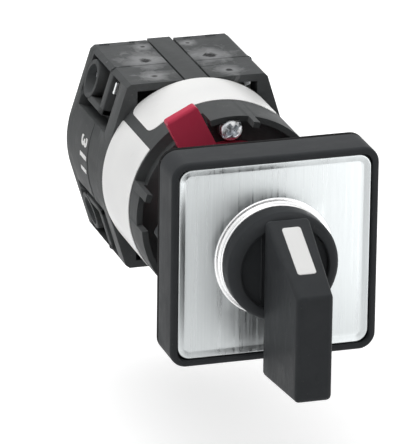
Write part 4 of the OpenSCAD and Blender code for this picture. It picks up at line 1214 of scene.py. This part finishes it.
def head_grid(radius, height):
    """Pan head seen along its axis: a dome w = h(1 - 0.45 q^2) with a rounded edge, q the share of the
    radius, less a recess whose depth is a smooth step of the distance to the nearer arm of the cross, or
    to the slot that runs from edge to edge where that is deeper. The underside is drawn in to the axis."""
    q = np.concatenate([np.linspace(0, 0.72, 26), np.linspace(0.76, 1.0, 8)])[:, None]
    a = np.linspace(0, 2 * math.pi, 96, endpoint=False)
    x, y = radius * q * np.cos(a), radius * q * np.sin(a)
    dome = height * (1 - 0.45 * q ** 2) - 0.22 * height * np.clip((q - 0.86) / 0.14, 0, 1) ** 2
    arm, end = 0.16 * radius, 0.66 * radius
    near, far = np.minimum(np.abs(x), np.abs(y)), np.maximum(np.abs(x), np.abs(y))
    cross = smooth_step((arm * 1.5 - near) / (arm * 0.9)) * smooth_step((end - far) / (0.22 * radius))
    slot = (smooth_step((arm * 1.35 - np.abs(y)) / (arm * 0.8))
            * smooth_step((0.97 * radius - np.abs(x)) / (0.05 * radius)))
    top = np.stack([x, y, dome - np.maximum(cross * 0.8 * height, slot * 0.3 * height)], -1)
    rim = 0.98 * radius
    under = [np.stack([r * np.cos(a), r * np.sin(a), 0 * a], -1) for r in (rim, 0.0)]
    return np.concatenate([top, under])


def shank_grid(shank_r, shank_len, pitch):
    """Shank under the head, whose radius drops by a triangle wave of w / pitch - a / 2 pi, which winds a
    thread round it. The thread runs out at both ends, and both ends are drawn in to the axis."""
    depth, run_out, sunk = 0.28, 0.5, 0.1
    a = np.linspace(0, 2 * math.pi, 40, endpoint=False)[None]
    z = -np.linspace(0.05, shank_len, max(8, int(shank_len / pitch * 6)))[:, None]
    fade = np.clip(np.minimum(-z - 0.05, shank_len + z) / run_out, 0, 1)
    r = shank_r - depth * fade * np.abs((z / pitch - a / (2 * math.pi)) % 1.0 - 0.5)
    top = np.array([[0.0, sunk], [shank_r, sunk]])
    tip = np.array([[0.8 * shank_r, -shank_len], [0.0, -shank_len]])
    r = np.concatenate([top[:, :1] + 0 * a, r, tip[:, :1] + 0 * a])
    z = np.concatenate([top[:, 1:], z, tip[:, 1:]]) + 0 * a
    return np.stack([r * np.cos(a), r * np.sin(a), z], -1)


def screw_mesh(axis, place, turn, head_r, head_h, shank_r, shank_len, seat, pitch):
    """Screw in its own frame, w out of the head and u, v across, turned about its axis by an angle in
    degrees and laid along an axis of the switch."""
    c, s = math.cos(math.radians(turn)), math.sin(math.radians(turn))
    grids = []
    for points in (head_grid(head_r, head_h), shank_grid(shank_r, shank_len, pitch)):
        u = points[..., 0] * c - points[..., 1] * s
        v = points[..., 0] * s + points[..., 1] * c
        w = points[..., 2]
        if axis == "front":
            laid = np.stack([u, seat - w, v], -1)
        else:
            laid = np.stack([(seat + w) * (-1 if axis == "left" else 1), u, v], -1)
        grids.append(laid + np.array(place))
    return grid_mesh("screw", grids, 40)


class CAMSWITCH_OT_fasteners(bpy.types.Operator):
    """Makes the tie bolts and terminal screws, and dresses their nuts and washers"""

    bl_idname = "camswitch.fasteners"
    bl_label = "Fasteners"

    def execute(self, context):
        bolts = [screw_mesh("front", (0, 0, half * BOLT_Z), turn, **TIE_BOLT)
                 for half, turn in ((1, 38), (-1, 12))]
        add_piece("tie_bolt_pair", joined_mesh("tie_bolt_pair", bolts), ZINC, ("tie_bolts",))
        screws = [screw_mesh(side, (0, SCREW_Y, half * SCREW_Z), turn, **TERMINAL_SCREW)
                  for side, turn in (("left", 25), ("right", 70)) for half in (1, -1)]
        add_piece("terminal_screw_set", joined_mesh("terminal_screw_set", screws), ZINC, ("terminal_screws",))
        softened("tie_nuts", "tie_nut_pair", ZINC, 0.08 * MM)
        softened("terminal_washers", "clamp_washers", ZINC, 0.1 * MM)
        return {"FINISHED"}


# Stage: floor, lamps and camera

# The photograph's camera: angles in degrees, distance in millimetres, focal length and offset in pixels
CAMERA = {"az": 18.31, "el": 20.70, "roll": 1.02, "distance": 760.4, "focal": 5500.0, "offset": (71.4, 36.1)}
FRAME_HEIGHT, SENSOR_HEIGHT = 444, 36.0

# Lamps: place and target in metres, size in metres, level, and whether only gloss shows it
LAMPS = {
    "Top softbox": ((-0.05, 0.1, 0.75), (0, 0.02, 0), (1.2, 1.2), 1.5, False),
    "Left softbox": ((-0.95, 0.1, 0.2), (0, 0.02, 0), (1.0, 1.0), 0.22, False),
    "Right reflector": ((0.052, -0.066, -0.012), (0.004, -0.006, 0), (0.05, 0.09), 1.5, True),
}

# Floor's height and half width in metres and its glow, and the world's light on the object
FLOOR_Z, FLOOR_HALF, FLOOR_GLOW, AMBIENT = -0.034, 0.8, 0.52, 0.25
WHITE = (1, 1, 1, 1)


def camera_axes():
    """Right, up and forward of the photograph's camera, which looks along
    (sin az cos el, cos az cos el, -sin el)."""
    az, el, roll = (math.radians(CAMERA[k]) for k in ("az", "el", "roll"))
    forward = Vector((math.sin(az) * math.cos(el), math.cos(az) * math.cos(el), -math.sin(el)))
    right = Vector((math.cos(az), -math.sin(az), 0))
    up = right.cross(forward)
    turned_right = right * math.cos(roll) + up * math.sin(roll)
    turned_up = up * math.cos(roll) - right * math.sin(roll)
    return turned_right, turned_up, forward


def place_camera():
    """Puts the camera where the photograph's was, aimed through the middle of the frame."""
    right, up, forward = camera_axes()
    across, down = CAMERA["offset"]
    eye = Vector((0, Y_BEZEL_FRONT, 0)) * MM - forward * CAMERA["distance"] * MM
    aim = (forward - right * (across / CAMERA["focal"]) + up * (down / CAMERA["focal"])).normalized()
    side = aim.cross(up).normalized()
    top = side.cross(aim).normalized()
    data = bpy.data.cameras.new("Photograph view")
    data.sensor_fit = "VERTICAL"
    data.sensor_height = SENSOR_HEIGHT
    data.lens = CAMERA["focal"] * SENSOR_HEIGHT / FRAME_HEIGHT
    data.clip_start, data.clip_end = 0.01, 50.0
    camera = bpy.data.objects.new("Photograph view", data)
    bpy.context.scene.collection.objects.link(camera)
    camera.matrix_world = Matrix.Translation(eye) @ Matrix((side, top, -aim)).transposed().to_4x4()
    bpy.context.scene.camera = camera


def place_lamp(name, place, target, size, level, gloss_only):
    """Soft rectangular lamp. Level is its radiance, so its power is level * pi * area; a card that only
    shows in gloss lights nothing itself."""
    data = bpy.data.lights.new(name, "AREA")
    data.shape = "RECTANGLE"
    data.size, data.size_y = size
    data.energy = level * math.pi * size[0] * size[1]
    holder = bpy.data.objects.new(name, data)
    holder.location = place
    holder.rotation_euler = (Vector(target) - Vector(place)).to_track_quat("-Z", "Y").to_euler()
    holder.visible_camera = False
    holder.visible_diffuse = not gloss_only
    bpy.context.scene.collection.objects.link(holder)


def backdrop_rays(w):
    """Socket that is 1 on the rays that show the backdrop: straight, off gloss and through clear pieces."""
    path = w.add("ShaderNodeLightPath")
    seen = w.maths("MAXIMUM", path.outputs["Is Camera Ray"], path.outputs["Is Glossy Ray"])
    return w.maths("MAXIMUM", seen, path.outputs["Is Transmission Ray"])


class CAMSWITCH_OT_stage(bpy.types.Operator):
    """Makes the floor, the soft lamps, the world and the camera"""

    bl_idname = "camswitch.stage"
    bl_label = "Stage"

    def execute(self, context):
        place_camera()
        mesh = bpy.data.meshes.new("studio_floor")
        corners = [(x * FLOOR_HALF, y * FLOOR_HALF, FLOOR_Z) for x, y in ((-1, -1), (1, -1), (1, 1), (-1, 1))]
        mesh.from_pydata(corners, [], [(0, 1, 2, 3)])
        mesh.materials.append(self.floor_finish())
        floor = bpy.data.objects.new("studio_floor", mesh)
        context.scene.collection.objects.link(floor)
        for name, settings in LAMPS.items():
            place_lamp(name, *settings)
        self.world(context)
        context.scene.view_settings.view_transform = "Standard"
        return {"FINISHED"}

    def floor_finish(self):
        """Pale matt floor that keeps the shadow and glows on the rays that show the backdrop."""
        material, w, shader = new_finish("Studio floor")
        shader.inputs["Base Color"].default_value = (0.86, 0.86, 0.86, 1)
        shader.inputs["Roughness"].default_value = 0.9
        glow = w.add("ShaderNodeEmission")
        w.fed(glow, {"Color": WHITE, "Strength": w.maths("MULTIPLY", backdrop_rays(w), FLOOR_GLOW)})
        both = w.fed(w.add("ShaderNodeAddShader"), {0: shader.outputs[0], 1: glow.outputs[0]})
        w.join(both.outputs[0], material.node_tree.nodes["Material Output"].inputs["Surface"])
        return material

    def world(self, context):
        """Faint even light on the object, and plain white on the rays that show the backdrop."""
        world = bpy.data.worlds.new("Studio")
        context.scene.world = world
        world.use_nodes = True
        w = Wiring(world.node_tree)
        ambient = w.fed(world.node_tree.nodes["Background"], {"Color": WHITE, "Strength": AMBIENT})
        plain = w.fed(w.add("ShaderNodeBackground"), {"Color": WHITE, "Strength": 1.0})
        sides = {0: backdrop_rays(w), 1: ambient.outputs[0], 2: plain.outputs[0]}
        mix = w.fed(w.add("ShaderNodeMixShader"), sides)
        w.join(mix.outputs[0], world.node_tree.nodes["World Output"].inputs["Surface"])


class CAMSWITCH_PT_pieces(bpy.types.Panel):
    """Lists the operators that build the switch and its settings"""

    bl_idname = "CAMSWITCH_PT_pieces"
    bl_label = "Cam Switch"
    bl_space_type = "VIEW_3D"
    bl_region_type = "UI"
    bl_category = "Cam Switch"

    def draw(self, context):
        layout = self.layout
        for settings in (context.scene.switch_sizes, context.scene.switch_colours):
            box = layout.box()
            for name in settings.bl_rna.properties.keys():
                if name not in ("rna_type", "name"):
                    box.prop(settings, name)
        for operator in OPERATORS:
            layout.operator(operator.bl_idname)


OPERATORS = (CAMSWITCH_OT_stage, CAMSWITCH_OT_front_plate, CAMSWITCH_OT_handle, CAMSWITCH_OT_neck,
             CAMSWITCH_OT_base, CAMSWITCH_OT_block, CAMSWITCH_OT_fasteners)
CLASSES = (SwitchSizes, SwitchColours, *OPERATORS, CAMSWITCH_PT_pieces)


def register():
    for cls in CLASSES:
        bpy.utils.register_class(cls)
    bpy.types.Scene.switch_sizes = PointerProperty(type=SwitchSizes)
    bpy.types.Scene.switch_colours = PointerProperty(type=SwitchColours)


def unregister():
    del bpy.types.Scene.switch_colours
    del bpy.types.Scene.switch_sizes
    for cls in reversed(CLASSES):
        bpy.utils.unregister_class(cls)


def main():
    """Registers the add-on's classes and builds every piece in order."""
    register()
    for operator in OPERATORS:
        area, name = operator.bl_idname.split(".")
        getattr(getattr(bpy.ops, area), name)()


if __name__ == "__main__":
    main()
